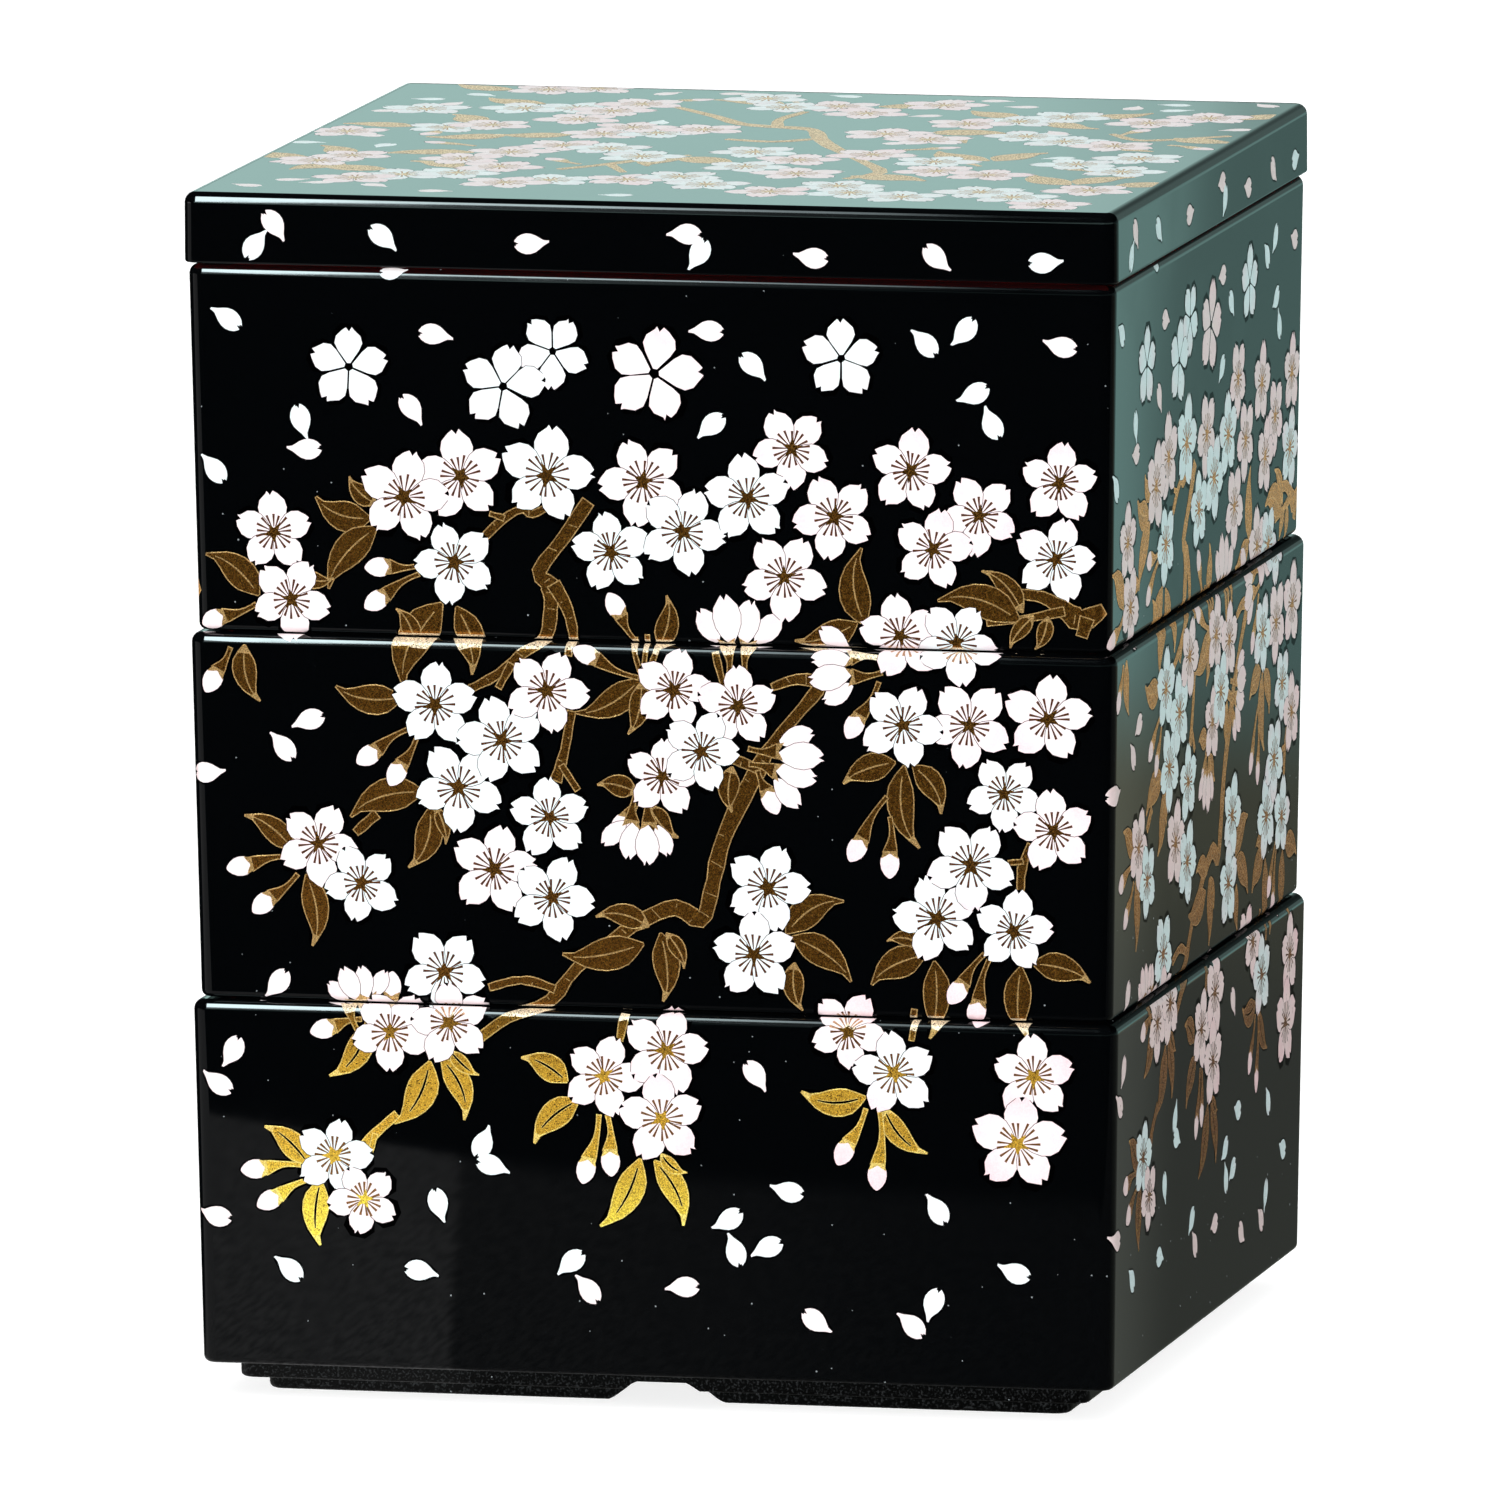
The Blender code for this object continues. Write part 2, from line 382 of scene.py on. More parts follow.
# A falling petal; direction is where its pointed end lies, in degrees
def petal(sheet, x, y, direction, size=1.0, blush=0.3):
    sheet.group += 1
    look = loosePetal
    length, half = look["length"] * size, look["width"] * size / 2
    swing = look["bend"] * size * sheet.chance.choice((-1, 1))

    def at(t, w):
        return (t - 0.5) * length, w * half + swing * max(t - 0.5, 0) ** 2 * 4

    hull = [at(t, w) for t, w in look["flank"]]
    hull += [at(t, -w * look["slack"]) for t, w in reversed(look["flank"])]
    outline = hull + [at(t, w) for t, w in look["notch"]]
    ink = sheet.either()
    sheet.put("film", grown(placed(hull[::2], x, y, direction), petalShape["margin"]), margin=True)
    blush = blush * sheet.chance.uniform(*look["blushes"])
    sheet.put(ink, placed(outline, x, y, direction), blush=(x, y, length, blush))


goldRelief = {
    "edge": 0.08,  # from the outline to the crest of the raised edge line
    "field": 0.21,  # from the outline to the powdered field
    "crest": 0.045,  # heights over the lacquer
    "level": 0.012,
    "least": 0.015,  # a strip ends where it is half as wide
}


def ribbon(path, halves, inset=0.0):
    p, h = np.array(path, float), np.array(halves, float) - inset
    along = np.gradient(p, axis=0)
    along /= np.maximum(np.linalg.norm(along, axis=1), 1e-9)[:, None]
    keep = h > goldRelief["least"]
    if keep.sum() < 2:
        return None
    p, h, along = p[keep], h[keep], along[keep]
    if inset:
        p[0] = p[0] + along[0] * min(inset, h[0])
        p[-1] = p[-1] - along[-1] * min(inset, h[-1])
    side = np.stack([-along[:, 1], along[:, 0]], 1) * h[:, None]
    return np.concatenate([p - side, (p + side)[::-1]])


# A gold strip with a raised line along its edges and a powdered field between them; the line is inked a
# lighter gold than the field, a painted highlight on top of the real relief
def goldStrip(sheet, path, halves):
    outline = ribbon(path, halves)
    sheet.put("film", grown(outline, petalShape["margin"])[::2], margin=True)
    sheet.put("line", outline)
    for ink, inset, lift in (("line", "edge", "crest"), ("powder", "field", "level")):
        inner = ribbon(path, halves, goldRelief[inset])
        if inner is not None:
            sheet.put(ink, inner, goldRelief[lift])


leafShape = {
    "profile": (0.1, 0.54, 0.89, 1, 0.97, 0.82, 0.57, 0.26, 0.09),
    "bow": 0.09,  # of its length, sideways
    "bows": (0.5, 1.3),
    "curl": 0.055,  # how far the tip swings back
    "curlStart": 0.75,
    "rib": (1, 8),  # the rib's first and last station
    "gap": (1, 7),  # and those of a bare rib
    "half": 0.15,  # half the rib, and half a bare one
    "bare": 0.21,
    "rim": 0.1,  # line round a bare rib
    "thin": 0.4,  # share of its width that a rib keeps at its ends
    "taper": (0.12, 0.95),
}


def leaf(sheet, baseX, baseY, tipX, tipY, width, open=False):
    sheet.group += 1
    look = leafShape
    base, tip = np.array([baseX, baseY]), np.array([tipX, tipY])
    span = tip - base
    side = np.array([-span[1], span[0]])
    bow = look["bow"] * sheet.chance.choice((-1, 1)) * sheet.chance.uniform(*look["bows"])
    count = len(look["profile"])
    path = []
    for i in range(count):
        t = i / (count - 1)
        back = look["curl"] * (max(t - look["curlStart"], 0) / (1 - look["curlStart"])) ** 2
        path.append(base + span * t + side * (bow * sin(pi * t) - back * np.sign(bow)))
    goldStrip(sheet, path, np.array(look["profile"]) * width / 2)
    first, last = look["gap" if open else "rib"]
    rib = path[first:last]
    shares = look["thin"] + (1 - look["thin"]) * np.sin(np.linspace(*look["taper"], last - first) * pi)
    if open:
        sheet.put("line", ribbon(rib, look["bare"] * shares + look["rim"]), goldRelief["level"])
        sheet.put("film", ribbon(rib, look["bare"] * shares))
    else:
        sheet.put("line", ribbon(rib, look["half"] * shares), goldRelief["level"])


# A Catmull-Rom curve through points, with so many stations to each span
def smoothPath(points, steps):
    p = np.array(points, float)
    p = np.concatenate([[2 * p[0] - p[1]], p, [2 * p[-1] - p[-2]]])
    out = []
    for a, b, c, d in zip(p, p[1:], p[2:], p[3:]):
        for i in range(steps):
            t = i / steps
            out.append(0.5 * (2 * b + (c - a) * t + (2 * a - 5 * b + 4 * c - d) * t**2
                              + (3 * b - a - 3 * c + d) * t**3))
    return np.array(out + [p[-2]])


branchShape = {
    "steps": 3,  # stations between two points
    "ragged": 0.12,  # how far the width may be off
    "least": 0.8,  # branches thinner than twice this have no marks across
    "markTurn": 25,
    "markReach": 0.9,
    "markHalf": (0.06, 0.1),  # half a mark's width at either end
}


# A branch through points of (x, y, width)
def branch(sheet, points):
    sheet.group += 1
    look = branchShape
    path = smoothPath(points, look["steps"])
    halves = path[:, 2] / 2 * (1 + sheet.chance.uniform(-look["ragged"], look["ragged"], len(path)))
    goldStrip(sheet, path[:, :2], halves)
    for i in range(2, len(path) - 2, 2):
        if halves[i] < look["least"]:
            continue
        along = path[i + 1, :2] - path[i - 1, :2]
        turn = sheet.chance.uniform(-look["markTurn"], look["markTurn"])
        angle = np.degrees(np.arctan2(along[1], along[0])) + 90 + turn
        ends = sorted(sheet.chance.uniform(-look["markReach"], look["markReach"], 2) * halves[i])
        flank = list(zip(ends, look["markHalf"]))
        mark = [(a, -b) for a, b in flank] + flank[::-1]
        sheet.put("line", placed(mark, path[i, 0], path[i, 1], angle), goldRelief["level"])


budShape = {
    "length": 4.7,
    "width": 3.4,
    "flank": ((-0.5, 0.35), (-0.4, 0.7), (-0.25, 0.95), (-0.05, 1), (0.15, 0.9), (0.33, 0.62),
              (0.45, 0.3), (0.5, 0.08)),
    "cupped": 0.42,  # share of the length that lies past the calyx
    "leastStalk": 0.5,
    "calyx": (0.5, 0.46, 0.48, 0.58, 0.82, 1.15, 1.4),  # half widths from the stalk to the bud
    "sway": 0.06,
    "crown": ((-0.5, 0.8), (0.4, 0.5), -0.1),  # where its teeth start, where they end inside, and their cleft
    "tooth": (0.85, 1.12),
}


def calyx(sheet, startX, startY, endX, endY, size=1.0):
    look = budShape
    start, end = np.array([startX, startY]), np.array([endX, endY])
    count = len(look["calyx"])
    span = end - start
    side = np.array([-span[1], span[0]]) * look["sway"] * sheet.chance.choice((-1, 1))
    path = [start + span * i / (count - 1) + side * sin(pi * i / (count - 1)) for i in range(count)]
    goldStrip(sheet, path, np.array(look["calyx"]) * size)
    angle = np.degrees(np.arctan2(span[1], span[0]))
    wide = look["calyx"][-1] * size
    (low, lowWide), (valley, valleyWide), cleft = look["crown"]
    tooth, toothWide = look["tooth"]
    flank = [(low, wide * lowWide), (tooth * size, wide * toothWide), (valley, wide * valleyWide)]
    crown = [(a, -b) for a, b in flank] + [(cleft, 0)] + flank[::-1]
    sheet.put("line", placed(crown, endX, endY, angle), goldRelief["level"])


# A petal shape with its film and its seam
def closedPetal(sheet, shape, blush):
    sheet.put("film", grown(shape[::2], petalShape["margin"]), margin=True)
    sheet.put("film", grown(shape, petalShape["seam"]))
    sheet.put("petal", shape, blush=blush)


def bud(sheet, x, y, stalkX, stalkY, blush=0.3):
    sheet.group += 1
    look = budShape
    length, half = look["length"], look["width"] / 2
    away = hypot(x - stalkX, y - stalkY)
    angle = np.degrees(np.arctan2(y - stalkY, x - stalkX))
    flank = [(t * length, w * half) for t, w in look["flank"]]
    outline = flank + [(a, -b) for a, b in reversed(flank)]
    closedPetal(sheet, placed(outline, x, y, angle), (stalkX, stalkY, away + half, blush))
    reach = max(away - length * look["cupped"], look["leastStalk"]) / away
    calyx(sheet, stalkX, stalkY, stalkX + (x - stalkX) * reach, stalkY + (y - stalkY) * reach)


# A blossom seen from the side; its petals are their turn, length and how far their base is off
sideBlossomShape = {
    "petals": ((28, 0.74, 0.4), (-40, 0.76, -0.36), (-7, 0.86, -0.14), (9, 0.95, 0.13)),
    "width": 0.74,
    "stalks": ((5.5, 0.34, 0.22), (5.0, -0.3, -0.2)),  # length, and where it starts and ends off the middle
    "gather": 0.5,  # the stalks' starts lie this much closer
    "stalkSize": 1.05,
    "blush": 0.25,
}


def sideBlossom(sheet, x, y, radius, direction):
    sheet.group += 1
    look = sideBlossomShape
    c, s = cos(radians(direction)), sin(radians(direction))
    for turn, share, off in look["petals"]:
        skew = sheet.chance.uniform(-petalShape["skew"], petalShape["skew"])
        narrow = [(a, b * look["width"]) for a, b in petalOutline(radius * share, "flank", skew)]
        shape = placed(narrow, x - s * off * radius, y + c * off * radius, direction + turn)
        closedPetal(sheet, shape, (x, y, radius, look["blush"]))
    for back, start, end in look["stalks"]:
        a, b = start * radius * look["gather"], end * radius
        calyx(sheet, x - back * c - s * a, y - back * s + c * a, x - s * b, y + c * b, look["stalkSize"])


# The print that runs up all four sides; heights are from the bottom tier's wall
sidePrint = {
    "branches": (
        ((-11, 153, 2.4), (-15.5, 146.5, 2.6), (-20, 140.5, 2.8), (-18, 138, 3.4), (-18, 134, 2.6),
         (-19, 129, 2.2), (-23, 126, 1.9), (-27, 122.5, 1.8), (-32.5, 119.5, 1.6)),
        ((-17.5, 138.5, 2.6), (-15, 134, 2.2), (-14, 129.5, 1.8), (-14.5, 126, 1.4)),
        ((-24.5, 124.5, 1.5), (-27, 120, 1.3)),
        ((-18, 152, 1.3), (-21, 150.5, 1.5), (-23, 151.3, 1.6), (-26.5, 149.3, 1.6), (-30.5, 145.5, 1.5)),
        ((-26, 149.6, 1.2), (-28.8, 150.4, 1)),
        ((81, 136.5, 2.4), (77, 134.5, 4), (73.5, 136.5, 3.2), (70, 138.3, 2.4), (66, 138.8, 1.6)),
        ((78, 135, 3), (77, 131.5, 2.4)),
        ((74, 136, 1.8), (67, 134.5, 1.4), (60, 133.5, 1.1)),
        ((-14, 116.5, 1.6), (-15.3, 109.5, 1.7), (-17, 104, 2.2)),
        ((-16, 107, 1.4), (-13, 102.5, 1.2)),
        ((21.5, 121.5, 1.6), (26, 123, 1.9), (30, 122.2, 2.6), (27, 118, 2.2), (21.5, 111.5, 2),
         (19, 107, 3), (15, 99.5, 3.4), (12.3, 93, 3), (10.5, 85, 2.8), (8.8, 80.5, 3.2), (4.3, 82.5, 3),
         (-1, 80.5, 2.8), (-5, 78, 2.4), (-13.5, 71.5, 2.2), (-18.5, 65.5, 2.4), (-25.5, 62.5, 2.2),
         (-31, 58.5, 1.8)),
        ((19.5, 107, 2), (14.5, 108.8, 1.7), (10, 109, 1.2)),
        ((-29.5, 67.5, 1.5), (-25, 68.8, 1.5), (-21.5, 68.8, 1.6), (-17.5, 67.5, 1.6)),
        ((67.5, 95.5, 1.4), (66, 91, 1.7), (65.8, 86.5, 1.3)),
        ((66.3, 92.3, 1.2), (63.5, 92, 0.9)),
        ((11.5, 127.5, 1.4), (13, 121.5, 1.2)),
        ((-49, 97.5, 2), (-53, 94, 1.6)),
        ((-45.5, 45, 1.6), (-49.5, 41.5, 1.7), (-52.5, 38.5, 1.4)),
        ((-49.5, 41.5, 1.2), (-50.5, 38, 1)),
        ((-4.7, 64, 1.7), (-5.7, 59, 1.4)),
        ((47, 66, 1.2), (46, 60.5, 1)),
        ((-3, 129.5, 1.2), (-2.6, 126.5, 1), (-1.6, 123, 0.9)),
        ((1.4, 128.5, 1.3), (0.6, 125.8, 1), (-1, 123, 0.9)),
        ((-0.7, 130, 1), (-0.8, 127, 1), (-1.3, 123, 0.9)),
    ),
    "leaves": (
        (-50, 149, -60, 152, 5.5), (-49, 151.5, -54, 156, 3.6), (-49, 147.5, -58.5, 137, 5.6),
        (-70.5, 135, -79.5, 142.5, 5.5), (-63.5, 139, -57, 138, 3.2), (-37.5, 134.5, -44.5, 120, 7),
        (-42.5, 127, -45.5, 133.5, 3.6), (-35, 134, -31, 122.5, 5), (38.5, 132.5, 37, 146, 5.6),
        (37, 133, 26, 129, 5), (66.5, 135.5, 59.5, 143, 3.8), (66, 134, 51.5, 138, 6),
        (68.5, 135, 64, 129.5, 3), (71, 135, 69, 129, 3), (-44, 118, -56, 119, 5.4),
        (-72, 126.5, -70, 116.5, 4.4), (-1.5, 122.5, -13, 115.5, 5.2), (-1.5, 122, -3.5, 112.5, 4),
        (-40.5, 101.5, -54, 97.5, 6), (-39.5, 99, -43, 88, 5), (-38.5, 99, -36.5, 92.5, 2.6),
        (-64, 90.5, -72.5, 97, 4.4), (-62, 86.5, -60.5, 74, 4.8), (-2.5, 102.5, -9.5, 104, 4),
        (-0.5, 79, -10, 81, 4.2), (-1.5, 76, -16, 73, 6), (1.5, 78, 2.5, 66, 5), (2.5, 78, 6, 72, 3),
        (-0.5, 100.5, 4.5, 94.5, 4.4), (14.5, 107.5, 14, 99.5, 4), (24, 78.5, 34, 85, 5.4),
        (25, 78, 36, 71, 5.4), (25.5, 73.5, 26.5, 65, 4), (43.5, 109, 34, 105.5, 5),
        (45, 108.5, 47, 94, 5), (46.5, 108.5, 52, 100.5, 4.6), (48, 77.5, 42, 78, 2.8),
        (49, 75.5, 39, 70.5, 5.6), (50.5, 74.5, 50, 61, 5), (66, 74, 66, 61.5, 5),
        (68, 74.5, 78.5, 72, 5), (-50.5, 61, -57, 51, 4.6), (-39.5, 54.5, -45.5, 43, 5.6),
        (-37.5, 55, -33, 44.5, 4.6), (-36, 56.5, -31, 52, 2.8), (-61.5, 35.5, -69, 42.5, 4.6),
        (-59.5, 33, -60.5, 21.5, 4.8), (-15, 51.5, -23, 56, 4.8), (-13, 48.5, -21.5, 41, 5),
        (-2.2, 38.5, -8.8, 26, 5.2), (0.3, 38.2, 6, 27.2, 4.6), (1.5, 39.5, 6, 36, 2.6),
        (38, 50.5, 26.5, 50.5, 5), (41, 49, 48.5, 40.5, 4), (1.2, 127.5, 3.3, 136.8, 4.2),
    ),
    "openBelow": 64,  # leaves lower than this have a bare rib
    "buds": (
        (-49, 140.5, -41.5, 141), (-49.5, 134.5, -41.5, 139.5), (-6.5, 135, -3, 129),
        (-79, 130.5, -71, 133.5), (-50.5, 107.5, -43, 112.5), (-45.5, 104.5, -41.5, 111.5),
        (-78, 120, -74.5, 126), (-74, 87.5, -64.5, 89.5), (-70, 81, -63.5, 86.5), (-47, 67.5, -47.5, 61),
        (-11.5, 126.5, -2, 122.5), (21.5, 101.5, 19, 107), (36.5, 93.5, 42, 103), (42.5, 91, 42.5, 99.5),
        (54.5, 69, 59.5, 76), (58, 65.5, 60.5, 75.5), (36, 115, 40.5, 123), (-5.5, 96.5, -1, 102),
        (-58.5, 59.5, -51.5, 61.5), (-71.5, 34.5, -63, 35.5), (-69, 29, -61.5, 33), (-12, 36, -9.5, 46),
        (-7.5, 37.5, -8, 46), (34, 40.5, 38, 48.5), (40, 36.5, 40.5, 48),
    ),
    "sideBlossoms": (
        (15.5, 128.8, 9, 90), (35.5, 125.5, 8, 185), (22.5, 108.5, 8.5, -8), (-2, 97, 7.5, -95),
        (-52.5, 64.8, 6.6, 105),
    ),
    "plainBlossoms": (
        (-53.4, 175.4, 7.2, 88), (-17.1, 179, 6.6, 54), (-26, 172.7, 7.4, 80), (0.9, 175.5, 8.4, 78),
        (34.1, 179, 7, 90),
    ),
    "blossoms": (
        (-33.9, 156.7, 7.8, 98), (-44, 152.9, 8.1, 80), (-18.4, 157.4, 8.3, 78), (-35.2, 141.7, 7.4, 112),
        (-67.5, 146.2, 6.9, 90), (-64.8, 134.5, 7.1, 60), (-7.1, 144.2, 7.2, 98), (-1.2, 156.7, 7.8, 45),
        (5.8, 148.1, 7.9, 65), (25.3, 163.1, 7, 50), (17.4, 154.2, 7.8, 96), (32.8, 151.3, 7.4, 45),
        (23.9, 140.6, 7.5, 56), (46.4, 159.7, 7.3, 80), (58.7, 152.2, 7, 48), (50.4, 146.1, 7.2, 78),
        (72.8, 158.3, 7, 87), (72.3, 144.9, 7.4, 76), (44.7, 130.9, 7.4, 100), (54.7, 129.9, 7.4, 60),
        (-38.3, 116.9, 7.4, 88), (-34.3, 102.4, 7.9, 124), (-26.4, 110.9, 7.9, 106),
        (-18.4, 119.8, 7.3, 66), (-18.2, 97.7, 7.3, 96), (-28.2, 88.3, 7.8, 78), (-17.9, 83.5, 7.6, 68),
        (-59.7, 91.9, 7.4, 63), (-52.1, 85.2, 6.9, 43), (-37.5, 70.1, 7.6, 55), (4.2, 120.6, 7.1, 77),
        (15.5, 118.2, 7.3, 90), (2, 105.4, 6.9, 84), (9, 110, 7.2, 70), (56.4, 115.8, 7.6, 50),
        (44.7, 115.5, 7.4, 66), (70.4, 117.3, 7.8, 82), (62.8, 104.1, 6.7, 52), (71.5, 97.7, 7.2, 98),
        (50.9, 81.9, 7.9, 106), (56.9, 91.4, 8, 54), (64.7, 80.1, 7.2, 80), (20.7, 86.4, 7.8, 70),
        (18.2, 74.6, 7.7, 90), (-46.5, 59.4, 7.2, 55), (-35.9, 61.3, 7.2, 32), (-57.1, 37.3, 6.9, 73),
        (-51.8, 29.8, 6.5, 43), (-8.6, 52.8, 7.2, 70), (2.5, 57.6, 7.6, 75), (1.7, 45.5, 7.7, 98),
        (34.8, 61.9, 6.9, 59), (43, 54.8, 7.5, 100), (67.6, 54.9, 7.4, 90), (65, 43, 8.4, 87),
    ),
    "petals": (
        (-75, 183.6, 142), (-78, 157.2, 125), (-37.8, 181.4, -3), (-42.2, 168.2, -50),
        (-62.2, 165.6, -80), (-61.7, 160.8, 185), (10.2, 183.3, 175), (18.6, 177.2, -40),
        (10.8, 166.7, 215), (48.8, 182.2, 130), (55.7, 184, 235), (72.6, 182, 172), (57.4, 173.2, 210),
        (60.6, 168.4, 120), (-45.2, 192.2, 5, 0.8), (-61.1, 113.6, 195), (-65.6, 109, 125),
        (-79.1, 103.8, 0), (-67.7, 67, 235), (-74.8, 55, 245), (-77.7, 49.6, 150), (-78.8, 26.1, 172),
        (-65.6, 17.4, 135), (-41.7, 17.5, -5), (-38.5, 29.1, -80), (-30.1, 40.5, 62), (-28.5, 36.4, -12),
        (-15, 19.8, 215), (-11.8, 15.4, 125), (5.1, 16.2, 180), (13.3, 28, 215), (14.7, 23, 105),
        (20.2, 23.5, 200), (23.9, 33.5, 172), (18.6, 53.6, -50), (29.2, 10.6, -40), (50.7, 31.3, 118),
        (49.9, 14.4, 245), (46.2, 10.9, 135), (64.4, 20.5, 165),
    ),
}

# Loose petals round the lid's side; heights are from its lower edge
lidSidePetals = ((-66, 6.9, -50), (-69.5, 3.6, 60), (-46.7, 5.2, -35), (-20.5, 4.7, 0), (6.5, 7.2, 175),
                 (9, 3.5, 245), (28.8, 3.5, 178), (51, 3.8, -48), (70.2, 3.5, 0))

# The lid's top, front edge at y = -80
lidPrint = {
    "branches": (
        ((-32, 62, 1.6), (-24, 52, 1.8), (-16, 42, 2.2), (-9, 32, 2.8), (-1, 29, 3.2), (5, 26, 2.6),
         (9, 14, 3.2), (13, 4, 3), (17, -4, 2.4), (24, -18, 2.2), (30, -32, 2.6), (26, -42, 1.8)),
        ((9, 14, 2.4), (2, 8, 2), (-7, 10, 1.6)),
        ((-2, 29, 2.2), (-4, 40, 1.9), (-2, 52, 1.5)),
        ((-26, -38, 1.5), (-19, -29, 2.2), (-14, -20, 2), (-8, -14, 1.4)),
        ((-19, -29, 2), (-14, -40, 1.6)),
        ((58, 30, 1.4), (64, 22, 2), (70, 24, 1.8), (79, 31, 1.5)),
    ),
    "leaves": (
        (-73, -29, -84, -24, 5), (-68, -25, -73, -14, 4.6), (-64, -38, -71, -45, 4.6),
        (-65, 18, -76, 20, 4.6), (-57, 25, -61, 35, 5), (-46, 9, -57, 4, 5.4), (-35, 12, -46, 9, 5),
        (-46, -17, -59, -20, 5.2), (-55, -44, -67, -40, 5.4), (-44, -39, -52, -32, 5),
        (-50, 55, -60, 60, 5), (-36, 53, -30, 63, 4.6), (-10, -18, 0, -25, 6), (-9, -16, -12, -28, 5),
        (26, 25, 38, 27, 6), (25, 20, 34, 14, 4.6), (45, -12, 35, -3, 5.4), (46, -12, 51, -1, 5),
        (26, -38, 38, -41, 6), (46, 51, 57, 59, 5), (37, 51, 28, 57, 5), (60, 18, 68, 8, 4.6),
        (70, 26, 80, 22, 5), (66, -43, 58, -33, 5.4), (67, -42, 73, -32, 5), (74, -44, 84, -40, 5),
        (-8, 61, -20, 66, 5), (9, 62, 19, 68, 5), (44, 46, 52, 38, 4.6), (-60, 74, -70, 79, 4.6),
        (76, 55, 84, 62, 4.6),
    ),
    "buds": (
        (-76, -36, -70, -32), (-60, 8, -58, 15), (-56, -4, -48, -8), (-24, 66, -32, 61), (34, 5, 26, 0),
        (22, 72, 14, 66), (40, -14, 45, -20), (62, 36, 60, 29), (78, 12, 71, 16), (-30, -24, -24, -30),
        (-10, 70, -6, 64), (60, -20, 66, -24),
    ),
    "blossoms": (
        (-70, -33, 7.2, 20), (-66, -25, 6.8, 60), (-59, 18, 7, 10), (-52, 23, 7, 50), (-54, 76, 7, 0),
        (-46, 79, 7, 30), (-52, 48, 7.4, 40), (-43, 50, 7.4, 75), (-36, 47, 7.2, 15), (-39, 34, 7.4, 55),
        (-30, 14, 7.2, 33), (-21, 17, 7.2, 5), (-14, 23, 7, 50), (-40, -15, 7.4, 22), (-33, -4, 7.4, 64),
        (-24, -7, 7.2, 30), (-16, -17, 7.4, 10), (-51, -50, 7.2, 45), (-42, -46, 7.2, 0),
        (-37, -36, 7.4, 70), (-24, -53, 7.4, 30), (-11, -50, 7.2, 12), (-3, -44, 7.2, 60),
        (4, -54, 7.4, 25), (2, 61, 7.2, 40), (-7, 58, 7, 0), (19, 23, 7.6, 20), (2, -7, 7.4, 55),
        (12, -17, 7.2, 15), (23, -7, 7.4, 66), (16, -36, 7.4, 35), (27, -52, 7.4, 5), (17, -62, 7.2, 50),
        (41, -65, 7.4, 30), (39, -28, 7.2, 60), (49, -32, 7.2, 12), (53, -56, 7.6, 44),
        (68, -71, 7.2, 20), (71, -50, 7.4, 58), (71, -23, 7.2, 8), (70, -4, 7.4, 40), (38, 45, 7.2, 25),
        (45, 53, 7.4, 62), (52, 18, 7.4, 15), (62, 13, 7.2, 48), (70, 56, 7.4, 30), (-27, 24, 7.2, 10),
        (-33, 58, 7.4, 50), (-58, -56, 7.2, 30), (-31, -58, 7.4, 5), (9, 52, 7.2, 60), (28, 16, 7.4, 35),
        (5, -28, 7.2, 0), (31, -61, 7.2, 66), (60, -62, 7.4, 22), (61, -14, 7.2, 50), (30, 40, 7.2, 12),
        (44, 24, 7.4, 40), (-69, 44, 7.2, 28), (-13, 70, 7.2, 55), (20, 66, 7.4, 15),
        (-46, -26, 7.2, 44), (-75, 9, 7.2, 30), (36, -15, 7.2, 8), (61, 47, 7.4, 58),
    ),
    "size": 1.12,  # the lid's blossoms are larger
    "leafSize": (1.2, 1.3),  # and so are its leaves, in length and width
    "petals": (
        (-68, -61, 20), (-74, -70, 150), (-63, -64, 200), (-78, -8, 10), (-70, 4, 160), (-75, 40, 30),
        (-72, 58, 190), (-66, 52, 60), (-64, 66, 340), (-20, 76, 20), (20, 50, 200), (28, 74, 10),
        (60, 74, 170), (54, 68, 80), (24, 10, 40), (56, -6, 200), (48, 30, 120), (-40, -72, 10),
        (-8, -72, 190), (62, 66, 30), (-24, 32, 100), (-64, -10, 250), (76, 76, 140), (34, 66, 190),
        (-32, 74, 60), (78, 40, 200), (0, 76, 160), (-52, -66, 330),
    ),
}

# Each sheet draws its chances from its own seed
seeds = {"side": 5, "lidSide": 11, "lidTop": 17}

# How pink the petals are: more towards the right, and most low down there
blushPlaces = {
    "least": 0.15,
    "more": 0.3,  # added from start over span, in x
    "start": -10,
    "span": 60,
    "low": 0.2,  # added on the right below this height
    "below": 64,
    "plain": 0.35,
}


def blushAt(x, height):
    look = blushPlaces
    across = min(max((x - look["start"]) / look["span"], 0), 1)
    low = look["low"] if height < look["below"] and x > 0 else 0
    return look["least"] + look["more"] * across + low


def sidePrintSheet():
    sheet = Sheet(seeds["side"])
    for points in sidePrint["branches"]:
        branch(sheet, points)
    for one in sidePrint["leaves"]:
        leaf(sheet, *one, open=one[1] < sidePrint["openBelow"])
    for one in sidePrint["buds"]:
        bud(sheet, *one, blush=blushAt(*one[:2]))
    for one in sidePrint["sideBlossoms"]:
        sideBlossom(sheet, *one)
    for one in sidePrint["plainBlossoms"]:
        blossom(sheet, *one, blush=blushPlaces["plain"], plain=True)
    for one in sidePrint["blossoms"]:
        blossom(sheet, *one, blush=blushAt(*one[:2]))
    for one in sidePrint["petals"]:
        petal(sheet, *one, blush=blushAt(*one[:2]))
    return sheet.all()


def lidSideSheet():
    sheet = Sheet(seeds["lidSide"])
    for one in lidSidePetals:
        petal(sheet, *one)
    return sheet.all()


